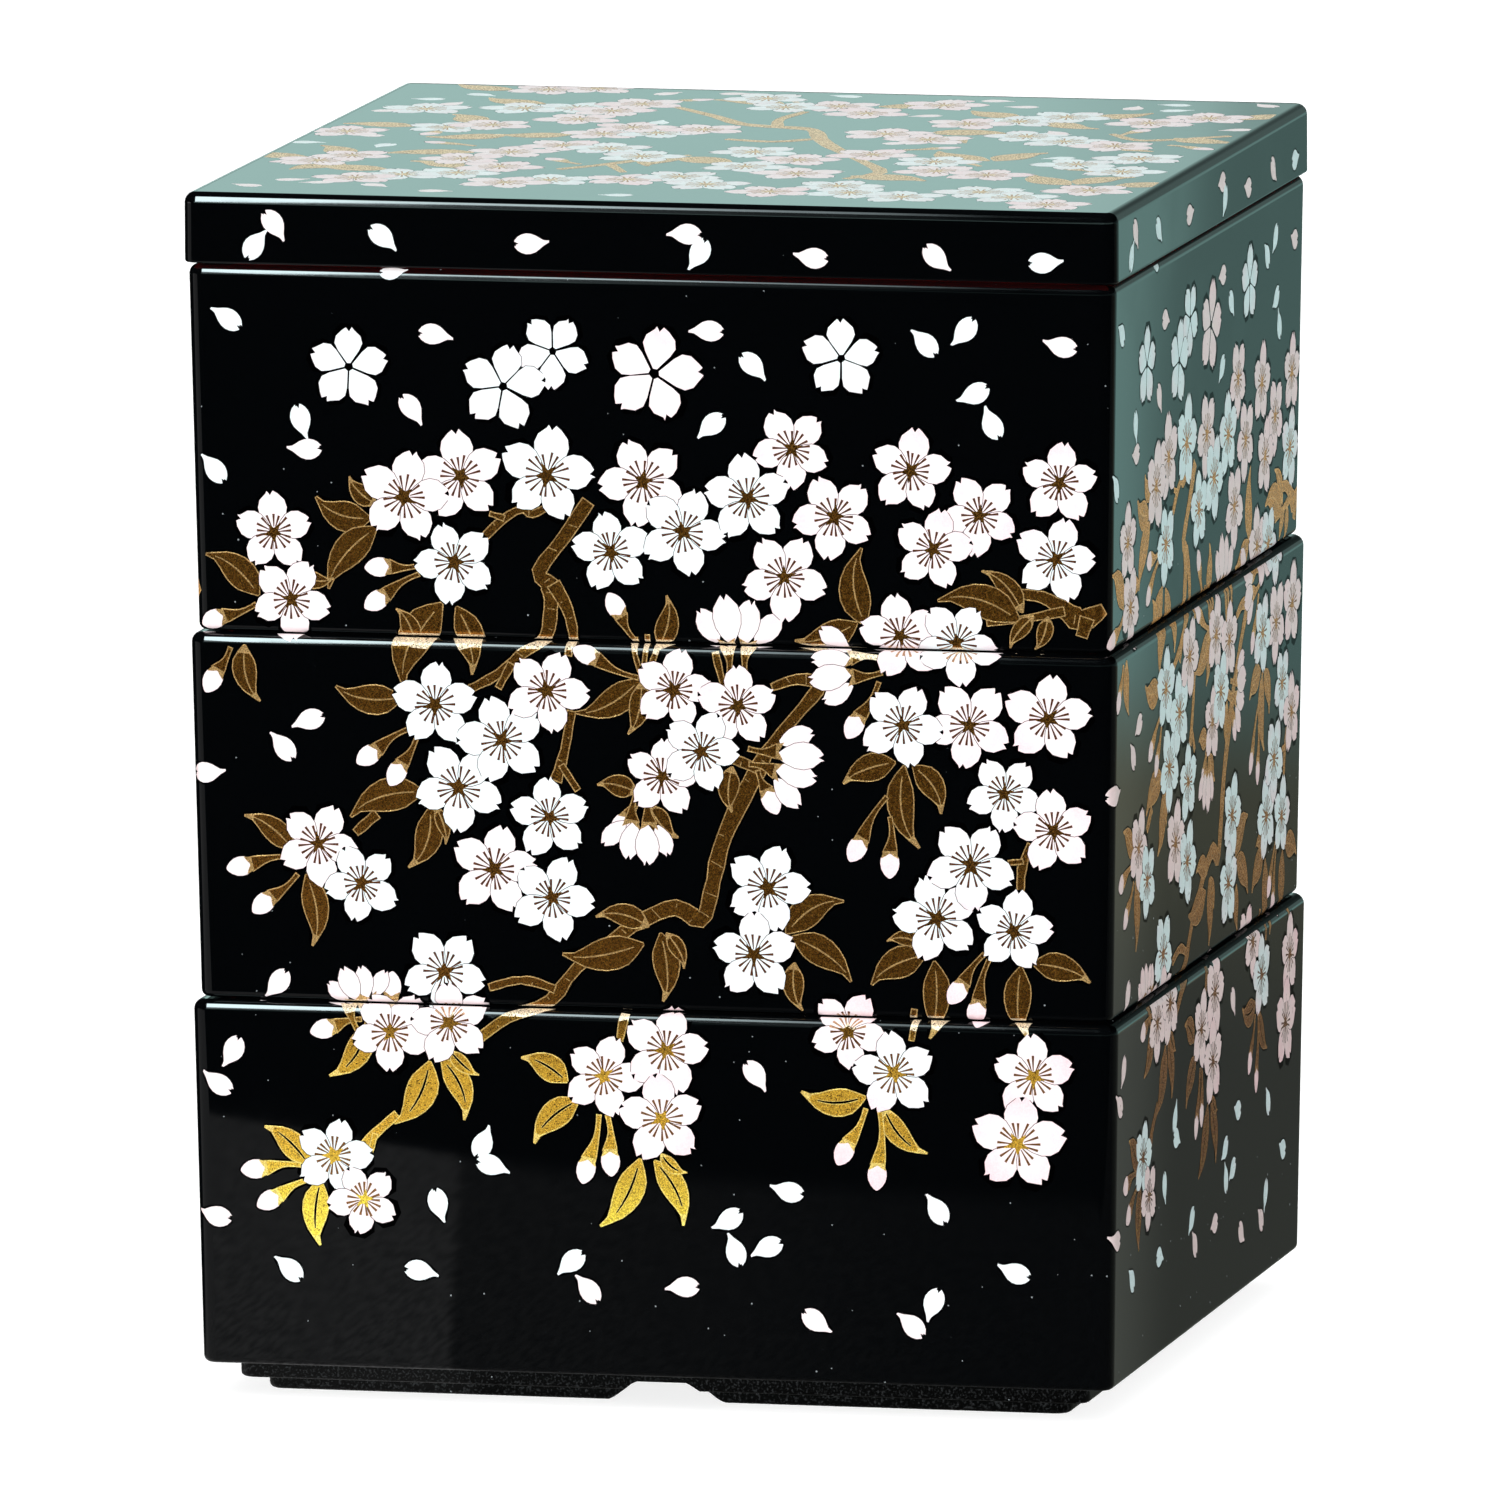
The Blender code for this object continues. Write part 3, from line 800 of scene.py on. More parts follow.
def lidTopSheet():
    sheet = Sheet(seeds["lidTop"])
    for points in lidPrint["branches"]:
        branch(sheet, points)
    longer, wider = lidPrint["leafSize"]
    for baseX, baseY, tipX, tipY, width in lidPrint["leaves"]:
        tipX, tipY = baseX + (tipX - baseX) * longer, baseY + (tipY - baseY) * longer
        leaf(sheet, baseX, baseY, tipX, tipY, width * wider)
    for one in lidPrint["buds"]:
        bud(sheet, *one)
    for x, y, radius, turn in lidPrint["blossoms"]:
        blossom(sheet, x, y, radius * lidPrint["size"], turn)
    for one in lidPrint["petals"]:
        petal(sheet, *one)
    return sheet.figures


joining = 1e-5  # points of the print that lie this near each other become one, in millimetres


# Cuts a border and its guide lines up by the figures, and says which figure is on top where;
# the bare ground is number -1
def inlay(figures, border, lines):
    points, faces = [tuple(p) for p in border], [list(range(len(border)))]
    edges = []
    for ends in lines:
        edges.append((len(points), len(points) + 1))
        points += ends
    owner, lift = [-1] * len(points), [0.0] * len(points)
    for figure in figures:
        start, count = len(points), len(figure["outline"])
        points += [tuple(p) for p in figure["outline"]]
        faces.append(list(range(start, start + count)))
        owner += [figure["group"]] * count
        lift += [figure["lift"]] * count
    found = delaunay_2d_cdt([Vector(p) for p in points], edges, faces, 0, joining, True)
    places, _, cells, pointSources, _, cellSources = found
    flat = np.array([(v.x, v.y) for v in places])
    tris, tops = [], []
    for cell, inside in zip(cells, cellSources):
        if 0 in inside:
            for k in range(1, len(cell) - 1):
                tris.append((cell[0], cell[k], cell[k + 1]))
                tops.append(max(inside) - 1)
    tris, tops = np.array(tris), np.array(tops)
    # a point is only raised where all that meets there belongs to one figure
    pointOwner, pointLift = np.full(len(flat), -1), np.zeros(len(flat))
    for number, sources in enumerate(pointSources):
        for source in sources:
            if lift[source] > pointLift[number]:
                pointOwner[number], pointLift[number] = owner[source], lift[source]
    groups = np.array([figure["group"] for figure in figures] + [-1])[tops]
    stray = np.unique(tris[groups[:, None] != pointOwner[tris]])
    pointLift[stray] = 0
    return flat, tris, tops, pointLift


# Ink, blush and normals for the triangles of an inlay that has been put on its surface
def dress(figures, flat, tris, tops, lifts, places, normals):
    ink = np.array([inkNumber[figure["ink"]] for figure in figures] + [inkNumber["lacquer"]])[tops]
    none = (0, 0, 1, 0)
    spots = np.array([figure["blush"] or none for figure in figures] + [none], float)[tops]
    away = np.linalg.norm(flat[tris] - spots[:, None, :2], axis=2) / spots[:, None, 2]
    start = petalShape["blushStart"]
    tints = np.clip((away - start) / (1 - start), 0, 1) * spots[:, None, 3]
    raised = (lifts[tris] > 0).any(1)
    places = places + normals * lifts[:, None]
    cornerPlaces, cornerNormals = places[tris], normals[tris]
    facing = np.cross(cornerPlaces[:, 1] - cornerPlaces[:, 0], cornerPlaces[:, 2] - cornerPlaces[:, 0])
    facing /= np.maximum(np.linalg.norm(facing, axis=1), 1e-12)[:, None]
    facing *= np.where((facing * cornerNormals[:, 0]).sum(1) < 0, -1, 1)[:, None]
    cornerNormals[raised] = facing[raised][:, None]
    return cornerPlaces.reshape(-1, 3), cornerNormals.reshape(-1, 3), ink, tints.ravel()


def shifted(figure, x, y):
    blush = figure["blush"]
    if blush:
        blush = (blush[0] + x, blush[1] + y, *blush[2:])
    return {**figure, "outline": figure["outline"] + (x, y), "blush": blush}


paleBelow = 0.6  # share of the lower round over which gold is painted pale, a painted highlight


# A printed side; the figures' heights are from the wall's lower edge
def printedSide(shell, shape, figures, mapHeight):
    end = sideLengths(shape)[1]
    lowEnd, wallEnd, top = wallLengths(shape)
    near = []
    for figure in figures:
        for aside in (-2 * end, 0, 2 * end):
            moved = shifted(figure, aside, lowEnd - shape["lowRound"])
            (left, low), (right, high) = moved["outline"].min(0), moved["outline"].max(0)
            if right > -end and left < end and high >= 0 and low <= top:
                near.append(moved)
    steps = fineness["round"]
    levels = [lowEnd * i / steps for i in range(1, steps + 1)]
    levels += [wallEnd + (top - wallEnd) * i / steps for i in range(steps)]
    lines = [((-end, v), (end, v)) for v in levels]
    lines += [((s, 0), (s, top)) for s in sideStops(shape)[1:-1]]
    border = [(-end, 0), (end, 0), (end, top), (-end, top)]
    flat, tris, tops, lifts = inlay(near, border, lines)
    along, height = flat.T
    places, normals = onSide(shape, along, *wallProfile(shape, height))
    maps = mapAlong(shape, along, mapRoom + mapHeight * height / top)[tris].reshape(-1, 2)
    places, normals, ink, tints = dress(near, flat, tris, tops, lifts, places, normals)
    # on the left and right the print stops short of the mouth, with dark film in its place as painted shade
    # over the rounded rim
    nearMouth = (height[tris] > wallEnd + (top - wallEnd) * shape["printStop"]).all(1)
    shell.addSides(places, normals, maps, np.where(nearMouth, inkNumber["film"], ink), tints, (1, 3))
    # on the front and back, gold on the rounded edges is painted pale as a painted highlight, and the rim
    # round's lacquer becomes the more reflective edge ink for a brighter highlight
    onRound = (height[tris] > wallEnd - touching).all(1)
    under = (height[tris] < lowEnd * paleBelow).all(1)
    gold = np.isin(ink, [inkNumber[one] for one in ("line", "powder", "pistil")])
    tints[np.repeat((onRound | under) & gold, 3)] = 1.0
    ink[onRound & np.isin(ink, [inkNumber["lacquer"], inkNumber["film"]])] = inkNumber["edge"]
    shell.addSides(places, normals, maps, ink, tints, (0, 2))
    used = flat[np.unique(tris)]
    return [sorted(s for s, v in used if abs(v - row) < touching) for row in (0, top)]


# The wall's end at v along its surface, as a station that faces straight up or down
def wallEdge(shape, v, rise):
    return (*(float(one) for one in wallProfile(shape, v)[:3]), rise)


def freeObject(name, mesh):
    obj = bpy.data.objects.new(name, mesh)
    bpy.context.scene.collection.objects.link(obj)
    return obj


# Every tier is the same moulding
tierShape = {
    "half": lowestBox[1].x / mm,  # half the width at the rim
    "rim": lowestBox[1].z / mm,  # height of the rim above the foot
    "pitch": (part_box("middle_tier")[0].z - lowestBox[0].z) / mm,
    "low": 5.75,  # the wall's lower edge
    "wall": 5.6,
    "lean": 1.1,  # the wall leans in this much, rim to lower edge
    "floor": 6.75,  # top of the floor inside
    "corner": 2.8,  # upright corners outside
    "mouthCorner": 3.8,
    "lowRound": 1.2,  # lower edge of the wall
    "highRound": 1.8,  # outer edge of the rim
    "mouthRound": 0.6,
    "floorFillet": 3.0,
    "printStop": 0.39,  # share of the rounded edge that the print covers on the left and right; above it dark film stands for shade
}

# Nesting step and foot under each tier, with a notch in the middle of each side
footShape = {
    "stepHalf": 75.6,
    "base": 2.55,  # underside of the floor
    "stepRound": 0.8,
    "half": 71.5,
    "width": 4.0,
    "round": 1.0,
    "corner": 3.0,
    "innerCorner": 0.5,
    "notchTop": 6.2,
    "notchBottom": 23.6,
    "notchRoof": 4.3,
    "notchSteps": 14,
    "margin": 1.0,  # how far the cutter runs past what it cuts
    "run": 0.2,  # how far the notch's flanks run on below the ground
    "sharp": 36,  # edges that turn by more degrees stay sharp
    "capSlack": 0.001,  # faces this near the wall's lower edge are left out, as the wall covers them
}


# One mesh of capped tubes, each through rings of points
def tubes(name, solids):
    verts, faces = [], []
    for rings in solids:
        start, count = len(verts), len(rings[0])
        verts += [tuple(p * mm) for ring in rings for p in ring]
        last = len(verts) - count
        for a in range(start, last, count):
            b = a + count
            faces += [(a + i, b + i, b + (i + 1) % count, a + (i + 1) % count) for i in range(count)]
        faces += [tuple(range(start, start + count)), tuple(reversed(range(last, last + count)))]
    mesh = bpy.data.meshes.new(name)
    mesh.from_pydata(verts, [], faces)
    mesh.validate()
    bm = bmesh.new()
    bm.from_mesh(mesh)
    bmesh.ops.recalc_face_normals(bm, faces=bm.faces)
    bm.to_mesh(mesh)
    bm.free()
    return freeObject(name, mesh)


def footBlock():
    foot = footShape
    half, corner, base = foot["half"], foot["corner"], foot["base"]
    stations = [(foot["stepHalf"], corner, tierShape["low"], 0)]
    stations += rounding(foot["stepHalf"], corner, base, foot["stepRound"], 0, -1)
    stations += [(half, corner, base, 0)]
    stations += rounding(half, corner, 0, foot["round"], 0, -1)
    stations += [(half - foot["width"], foot["innerCorner"], z, 0) for z in (0, base)]
    stops = sideStops(tierShape)[:-1]
    rows = [onSide(tierShape, stops, at, r, z, 0)[0] for at, r, z, _ in stations]
    rings = [[p for side in range(4) for p in row @ quarterTurn(side)] for row in rows]
    return tubes("footBlock", [rings])


def notchCutter():
    foot = footShape
    margin, steps = foot["margin"], foot["notchSteps"]
    top, bottom, fall = foot["notchTop"] / 2, foot["notchBottom"] / 2, foot["notchRoof"] + foot["run"]
    flank = [(bottom, -margin)]
    for i in range(steps + 1):
        t = i / steps
        z = foot["notchRoof"] - fall * (0.5 + 0.5 * cos(pi * t))
        flank.append((bottom + (top - bottom) * t, z))
    outline = flank + [(-x, z) for x, z in reversed(flank)]
    ends = foot["stepHalf"] + margin, foot["half"] - foot["width"] - margin
    solids = []
    for side in range(4):
        turn = Matrix.Rotation(side * pi / 2, 3, "Z")
        solids.append([[turn @ Vector((x, -y, z)) for x, z in outline] for y in ends])
    return tubes("notchCutter", solids)


# The step and foot with their notches are cut once, and shared by the tiers
def cutFoot():
    block, cutter = footBlock(), notchCutter()
    cut = block.modifiers.new("notches", "BOOLEAN")
    cut.operation, cut.solver, cut.object = "DIFFERENCE", "EXACT", cutter
    mesh = bpy.data.meshes.new_from_object(block.evaluated_get(bpy.context.evaluated_depsgraph_get()))
    mesh.shade_smooth()
    mesh.set_sharp_from_angle(angle=radians(footShape["sharp"]))
    mesh.calc_loop_triangles()
    places = np.array([v.co for v in mesh.vertices]) / mm
    normals = np.array([n.vector for n in mesh.corner_normals])
    cap = tierShape["low"] - footShape["capSlack"]
    tris = [t for t in mesh.loop_triangles if min(places[v][2] for v in t.vertices) < cap]
    corners = np.array([places[v] for t in tris for v in t.vertices])
    cornerNormals = np.array([normals[i] for t in tris for i in t.loops])
    for obj in (block, cutter):
        bpy.data.objects.remove(obj, do_unlink=True)
    return corners, cornerNormals


# Bake map: rows as shares of its height, and squares by their centre and half their size
tierMap = {
    "print": 0.4,
    "floor": ((0.18, 0.62), 0.16),
    "lining": (0.8, 0.82, 0.95, 0.96),
    "rim": (0.965, 0.97),
    "ledge": (0.98, 0.985),
    "foot": ((0.62, 0.62), 0.16),
}


def makeTier(name, level, figures, foot):
    tier, step = tierShape, footShape
    up, mouth, corner = level * tier["pitch"], tier["half"] - tier["wall"], tier["mouthCorner"]
    shell = Shell()
    # red inside: floor, fillet, wall and the inner edge of the rim
    fillet = rounding(mouth - tier["lean"], corner, tier["floor"], tier["floorFillet"], -1, 0, True)
    edge = rounding(mouth, corner, tier["rim"], tier["mouthRound"], 2, 1)
    runs = [lifted(run, up) for run in (fillet, [fillet[-1], edge[0]], edge)]
    disc(shell, tier, runs[0][0], "lining", tierMap["floor"])
    linedBands(shell, tier, runs, tierMap["lining"])
    # printed outside
    side = {**tier, "low": tier["low"] + up, "high": tier["rim"] + up}
    below, above = printedSide(shell, side, [shifted(one, 0, -up) for one in figures], tierMap["print"])
    rim = wallEdge(side, wallLengths(side)[2], pi / 2)
    band(shell, tier, rim, (*runs[2][-1][:3], pi / 2), "lacquer", tierMap["rim"], above)
    # the ledge under the wall, then the step and foot
    ledge = (step["stepHalf"], step["corner"], tier["low"] + up, -pi / 2)
    band(shell, tier, wallEdge(side, 0, -pi / 2), ledge, "lacquer", tierMap["ledge"], below)
    places, normals = foot
    maps = mapSquare(tierMap["foot"], places, tier["half"])
    shell.add(places + (0, 0, up), normals, maps, inkNumber["foot"])
    return freeObject(name, shell.finish(name))


# A flat plate with a rim, and a lip that reaches into the mouth below
lidShape = {
    "half": lidBox[1].x / mm,
    "low": 198.65,  # lower edge of the side
    "top": lidBox[1].z / mm,
    "corner": 2.4,
    "topRound": 1.9,
    "lowRound": 0.5,
    "lipHalf": 75.6,
    "lipCorner": 3.0,
    "lipWidth": 2.0,
    "lipEnd": lidBox[0].z / mm,
    "lipRound": 0.5,
    "ceiling": 207.35,
    "fillet": 2.5,
    "printStop": 1.0,
    "printInset": 0.05,  # the top's print starts this far inside the edge round
}

lidMap = {
    "print": 0.085,
    "ceiling": ((0.935, 0.17), 0.05),
    "lining": (0.1, 0.102, 0.105, 0.106, 0.107, 0.108, 0.112),
    "ledge": (0.112, 0.115),
    "top": ((0.44, 0.56), 0.43),
}


def makeLid(name):
    lid = lidShape
    hollow, corner = lid["lipHalf"] - lid["lipWidth"], lid["lipCorner"]
    shell = Shell()
    # red inside: ceiling, fillet and lip, then the underside of the rim
    fillet = rounding(hollow, corner, lid["ceiling"], lid["fillet"], 1, 0, True)
    lipIn = rounding(hollow, corner, lid["lipEnd"], lid["lipRound"], 2, 3)
    lipOut = rounding(lid["lipHalf"], corner, lid["lipEnd"], lid["lipRound"], -1, 0)
    lipTop = (lid["lipHalf"], corner, lid["low"], 0.0)
    disc(shell, lid, fillet[0], "lining", lidMap["ceiling"])
    runs = fillet, [fillet[-1], lipIn[0]], lipIn, [lipIn[-1], lipOut[0]], lipOut, [lipOut[-1], lipTop]
    linedBands(shell, lid, runs, lidMap["lining"])
    side = {**lid, "lean": 0.0, "high": lid["top"], "highRound": lid["topRound"]}
    below, above = printedSide(shell, side, lidSideSheet(), lidMap["print"])
    under = (*lipTop[:3], -pi / 2)
    band(shell, lid, wallEdge(side, 0, -pi / 2), under, "lining", lidMap["ledge"], below)
    # printed top, joined to the side by a hair-thin ring
    edge = wallEdge(side, wallLengths(side)[2], pi / 2)
    at, r, z = edge[0] - lid["printInset"], edge[1] - lid["printInset"], edge[2] - goldRelief["crest"]
    row = onSide(lid, sideStops(lid)[:-1], at, r, z, pi / 2)[0]
    border = [p[:2] for number in range(4) for p in row @ quarterTurn(number)]
    figures = lidTopSheet()
    flat, tris, tops, lifts = inlay(figures, border, [])
    places = np.concatenate([flat, np.full((len(flat), 1), z)], 1)
    normals = np.zeros_like(places) + (0, 0, 1)
    maps = mapSquare(lidMap["top"], flat, at)[tris].reshape(-1, 2)
    places, normals, ink, tints = dress(figures, flat, tris, tops, lifts, places, normals)
    shell.add(places, normals, maps, ink, tints)
    for number, inner in enumerate(ringStops(lid, flat[np.unique(tris)], border, at, r)):
        ringSide(shell, lid, number, above, edge, inner, z)
    return freeObject(name, shell.finish(name))


# Where the top's print crosses its border, as stops along each side
def ringStops(shape, points, border, at, r):
    flat = sideLengths(shape)[0]
    a = np.array(border)
    span = np.roll(a, -1, 0) - a
    stops = [set() for _ in range(4)]
    for x, y in points:
        t = np.clip((((x, y) - a) * span).sum(1) / (span**2).sum(1), 0, 1)
        if np.linalg.norm(a + span * t[:, None] - (x, y), axis=1).min() > joining:
            continue
        for side in range(4):
            u, v = quarterTurn(side)[:2, :2] @ (x, y)
            if v > -abs(u) + touching:
                continue
            if abs(u) <= at - r + touching:
                s = u / (at - r) * flat
            else:
                angle = np.arctan2(abs(u) - (at - r), -v - (at - r))
                s = (flat + shape["corner"] * angle) * (1 if u > 0 else -1)
            stops[side].add((round(s, 7), x, y))
    return [sorted(one) for one in stops]


def ringSide(shell, shape, number, outerStops, outer, inner, z):
    outerRow = onSide(shape, outerStops, *outer)[0] @ quarterTurn(number)
    rows = outerRow, [(x, y, z) for _, x, y in inner]
    pairs = zipRows(outerStops, [s for s, _, _ in inner])
    corners = [rows[row][k] for tri in pairs for row, k in tri]
    maps = mapSquare(lidMap["top"], corners, outer[0])
    shell.add(corners, [(0, 0, 1)] * len(corners), maps, inkNumber["lacquer"])


# Shader helpers: a value given as a socket is linked, and any other is set
def feed(tree, node, inputs):
    for key, value in inputs.items():
        if isinstance(value, bpy.types.NodeSocket):
            tree.links.new(value, node.inputs[key])
        else:
            node.inputs[key].default_value = value
    return node.outputs


def addNode(tree, kind, inputs=None, **settings):
    node = tree.nodes.new("ShaderNode" + kind)
    for name, value in settings.items():
        setattr(node, name, value)
    return feed(tree, node, inputs or {})


def maths(tree, operation, *values):
    return addNode(tree, "Math", dict(enumerate(values)), operation=operation)[0]


def product(tree, result, *others):
    for other in others:
        result = maths(tree, "MULTIPLY", result, other)
    return result


def vector(tree, operation, *values):
    return addNode(tree, "VectorMath", dict(enumerate(values)), operation=operation)[0]


def scaled(tree, colour, by):
    return addNode(tree, "VectorMath", {0: colour, "Scale": by}, operation="SCALE")[0]


def fade(tree, value, low, high, start=0.0, end=1.0, kind="SMOOTHSTEP"):
    inputs = {0: value, 1: low, 2: high, 3: start, 4: end}
    return addNode(tree, "MapRange", inputs, interpolation_type=kind)[0]


def blend(tree, amount, one, two):
    return addNode(tree, "Mix", {0: amount, 6: one, 7: two}, data_type="RGBA")[2]


def split(tree, value):
    return addNode(tree, "SeparateXYZ", {0: value})


def objectPlace(tree):
    return addNode(tree, "TexCoord")["Object"]


def noise(tree, where, scale, detail=2.0, roughness=0.5):
    inputs = {"Vector": where, "Scale": scale, "Detail": detail, "Roughness": roughness}
    return addNode(tree, "TexNoise", inputs)[0]


# Distance to the middle of a cell, the cell's colour, and that colour as three chances
def grains(tree, where, scale):
    found = addNode(tree, "TexVoronoi", {"Vector": where, "Scale": scale})
    return found["Distance"], found["Color"], addNode(tree, "SeparateColor", {0: found["Color"]})


def bump(tree, height, distance):
    return addNode(tree, "Bump", {"Height": height, "Distance": distance})[0]


def emptyTree(owner):
    owner.use_nodes = True
    owner.node_tree.nodes.clear()
    return owner.node_tree


def newGroup(name, takes, gives):
    tree = bpy.data.node_groups.new(name, "ShaderNodeTree")
    for label, value in takes.items():
        kind = "NodeSocketColor" if isinstance(value, tuple) else "NodeSocketFloat"
        tree.interface.new_socket(name=label, in_out="INPUT", socket_type=kind).default_value = value
    for label in gives:
        kind = {"Color": "NodeSocketColor", "Normal": "NodeSocketVector"}.get(label, "NodeSocketFloat")
        tree.interface.new_socket(name=label, in_out="OUTPUT", socket_type=kind)
    return tree, tree.nodes.new("NodeGroupInput").outputs, tree.nodes.new("NodeGroupOutput")


def useGroup(tree, group, inputs):
    node = tree.nodes.new("ShaderNodeGroup")
    node.node_tree = group
    return feed(tree, node, inputs)


# In these looks a noise is its scale, detail and roughness, and a turn is the start and end of a fade
polishLook = {
    "takes": {"Gloss": 0.04, "Smudge": 0.04, "Peel": 900.0},
    "peelDetail": 1.0,
    "wave": (60.0, 1.0), "waveShare": 3.0,
    "cloth": (38.0, 4.0, 0.6), "clothTurn": (0.48, 0.72),
    "grainTurn": (0.5, 0.75),
}
dustLook = {"takes": {"Scale": 350.0, "Size": 0.06, "Share": 0.8}, "least": 0.3}
powderLook = {
    "takes": {"Gold": (0.8, 0.45, 0.1, 1), "Ground": (0.05, 0.02, 0.005, 1), "Metal": 0.9, "Grain": 5200.0,
              "Cover": 0.8, "Tilt": 0.3, "Smooth": 0.15, "Rough": 0.3},
    "thin": (900.0, 3.0), "thinTurn": (0.3, 0.7, -0.03, 0.03),
    "edge": (-0.05, 0.05),
    "shades": (0.7, 1.3),
}
inkLook = {
    "takes": {"Paint": (0.9, 0.9, 0.9, 1), "Tint": (0.9, 0.5, 0.6, 1), "Amount": 0.0, "Mottle": 0.05},
    "mottle": (700.0, 3.0), "mottleTurn": (0.35, 0.75),
    "speckle": (3400.0, 2.0), "speckleTurn": (0.3, 0.7, 0.7, 1.3),
    "roughTurn": (0.2, 0.8, 0.26, 0.38),
}


# Rubbed-out lacquer: shallow orange peel and patches where a cloth has been
def polishGroup():
    look = polishLook
    tree, take, give = newGroup("polish", look["takes"], ("Roughness", "Height", "Grain"))
    where = objectPlace(tree)
    peel = noise(tree, where, take["Peel"], look["peelDetail"])
    wave = product(tree, noise(tree, where, *look["wave"]), look["waveShare"])
    smudge = product(tree, fade(tree, noise(tree, where, *look["cloth"]), *look["clothTurn"]), take["Smudge"])
    feed(tree, give, {"Roughness": maths(tree, "ADD", take["Gloss"], smudge),
                      "Height": maths(tree, "ADD", peel, wave),
                      "Grain": fade(tree, peel, *look["grainTurn"])})
    return tree


# A few specks of dust under and on the lacquer
def dustGroup():
    tree, take, give = newGroup("dust", dustLook["takes"], ("Mask",))
    distance, _, chance = grains(tree, objectPlace(tree), take["Scale"])
    size = product(tree, take["Size"], maths(tree, "ADD", chance[1], dustLook["least"]))
    chosen = maths(tree, "LESS_THAN", chance[0], take["Share"])
    feed(tree, give, {"Mask": product(tree, maths(tree, "LESS_THAN", distance, size), chosen)})
    return tree


# Gold powder over black: single grains that lie at all angles, thinner in places
def powderGroup():
    look = powderLook
    tree, take, give = newGroup("goldPowder", look["takes"], ("Color", "Metallic", "Roughness", "Normal"))
    where = objectPlace(tree)
    _, colour, chance = grains(tree, where, take["Grain"])
    thin = fade(tree, noise(tree, where, *look["thin"]), *look["thinTurn"])
    cover = maths(tree, "ADD", take["Cover"], thin)
    shown = fade(tree, maths(tree, "SUBTRACT", cover, chance[0]), *look["edge"])
    gold = scaled(tree, take["Gold"], fade(tree, chance[2], 0.0, 1.0, *look["shades"]))
    lean = scaled(tree, vector(tree, "SUBTRACT", colour, (0.5, 0.5, 0.5)), take["Tilt"])
    normal = vector(tree, "ADD", lean, addNode(tree, "NewGeometry")["Normal"])
    feed(tree, give, {"Color": blend(tree, shown, take["Ground"], gold),
                      "Metallic": product(tree, shown, take["Metal"]),
                      "Roughness": fade(tree, chance[1], 0.0, 1.0, take["Smooth"], take["Rough"]),
                      "Normal": vector(tree, "NORMALIZE", normal)})
    return tree


# Opaque ink laid on in one pass: faint mottling and a soft sheen
def inkGroup():
    look = inkLook
    tree, take, give = newGroup("printInk", look["takes"], ("Color", "Roughness", "Height"))
    where = objectPlace(tree)
    mottle, speckle = noise(tree, where, *look["mottle"]), noise(tree, where, *look["speckle"])
    amount = product(tree, take["Amount"], fade(tree, speckle, *look["speckleTurn"]))
    mottled = product(tree, fade(tree, mottle, *look["mottleTurn"]), take["Mottle"])
    paint = blend(tree, maths(tree, "MINIMUM", amount, 1.0), take["Paint"], take["Tint"])
    feed(tree, give, {"Color": scaled(tree, paint, maths(tree, "SUBTRACT", 1.0, mottled)),
                      "Roughness": fade(tree, mottle, *look["roughTurn"]),
                      "Height": speckle})
    return tree


def newMaterial(name, base, ior):
    material = bpy.data.materials.new(name)
    material.diffuse_color = base
    tree = emptyTree(material)
    skin = tree.nodes.new("ShaderNodeBsdfPrincipled")
    feed(tree, skin, {"Base Color": base, "IOR": ior})
    addNode(tree, "OutputMaterial", {0: skin.outputs[0]})
    return material, tree, skin


# Gloss, smudge, peel and depth of the peel in metres; the edge is a more reflective copy of the lacquer on
# the front and back rim rounds, standing in for a brighter highlight there
finish = {
    "lacquer": {"base": (0.0008, 0.0011, 0.0014, 1), "ior": 1.24, "gloss": 0.035, "smudge": 0.03,
                "peel": 420.0, "depth": 2e-7, "dust": 0.45},
    "edge": {"base": (0.0008, 0.0011, 0.0014, 1), "ior": 1.7, "gloss": 0.035, "smudge": 0.03,
             "peel": 420.0, "depth": 6e-7, "dust": 0.45},
    "film": {"base": (0.0003, 0.0003, 0.0004, 1), "ior": 1.05, "gloss": 0.1, "smudge": 0.05,
             "peel": 420.0, "depth": 2e-7, "dust": 0.0},
    "lining": {"base": (0.30, 0.009, 0.006, 1), "ior": 1.45, "gloss": 0.05, "smudge": 0.05,
               "peel": 420.0, "depth": 3e-7, "dust": 0.4},
    "foot": {"base": (0.001, 0.001, 0.001, 1), "ior": 1.2, "gloss": 0.3, "smudge": 0.08,
             "peel": 2300.0, "depth": 6e-5, "dust": 0.9, "grain": (0.022, 0.024, 0.025, 1)},
    "dust": (0.24, 0.27, 0.28, 1),
    "dustRough": 0.4,
}

# Petals are printed in two whites, pinker towards their tips
petalPaint = {
    "petal": (0.92, 0.82, 0.83, 1),
    "coolPetal": (0.83, 0.92, 0.93, 1),
    "side": {"petal": (0.78, 0.65, 0.64, 1), "coolPetal": (0.64, 0.81, 0.82, 1)},  # on the left and right, painted dimmer as painted shade
    "blush": (0.92, 0.57, 0.62, 1),
    "ior": 1.4,
    "mottle": 0.05,
    "relief": 4e-6,
}
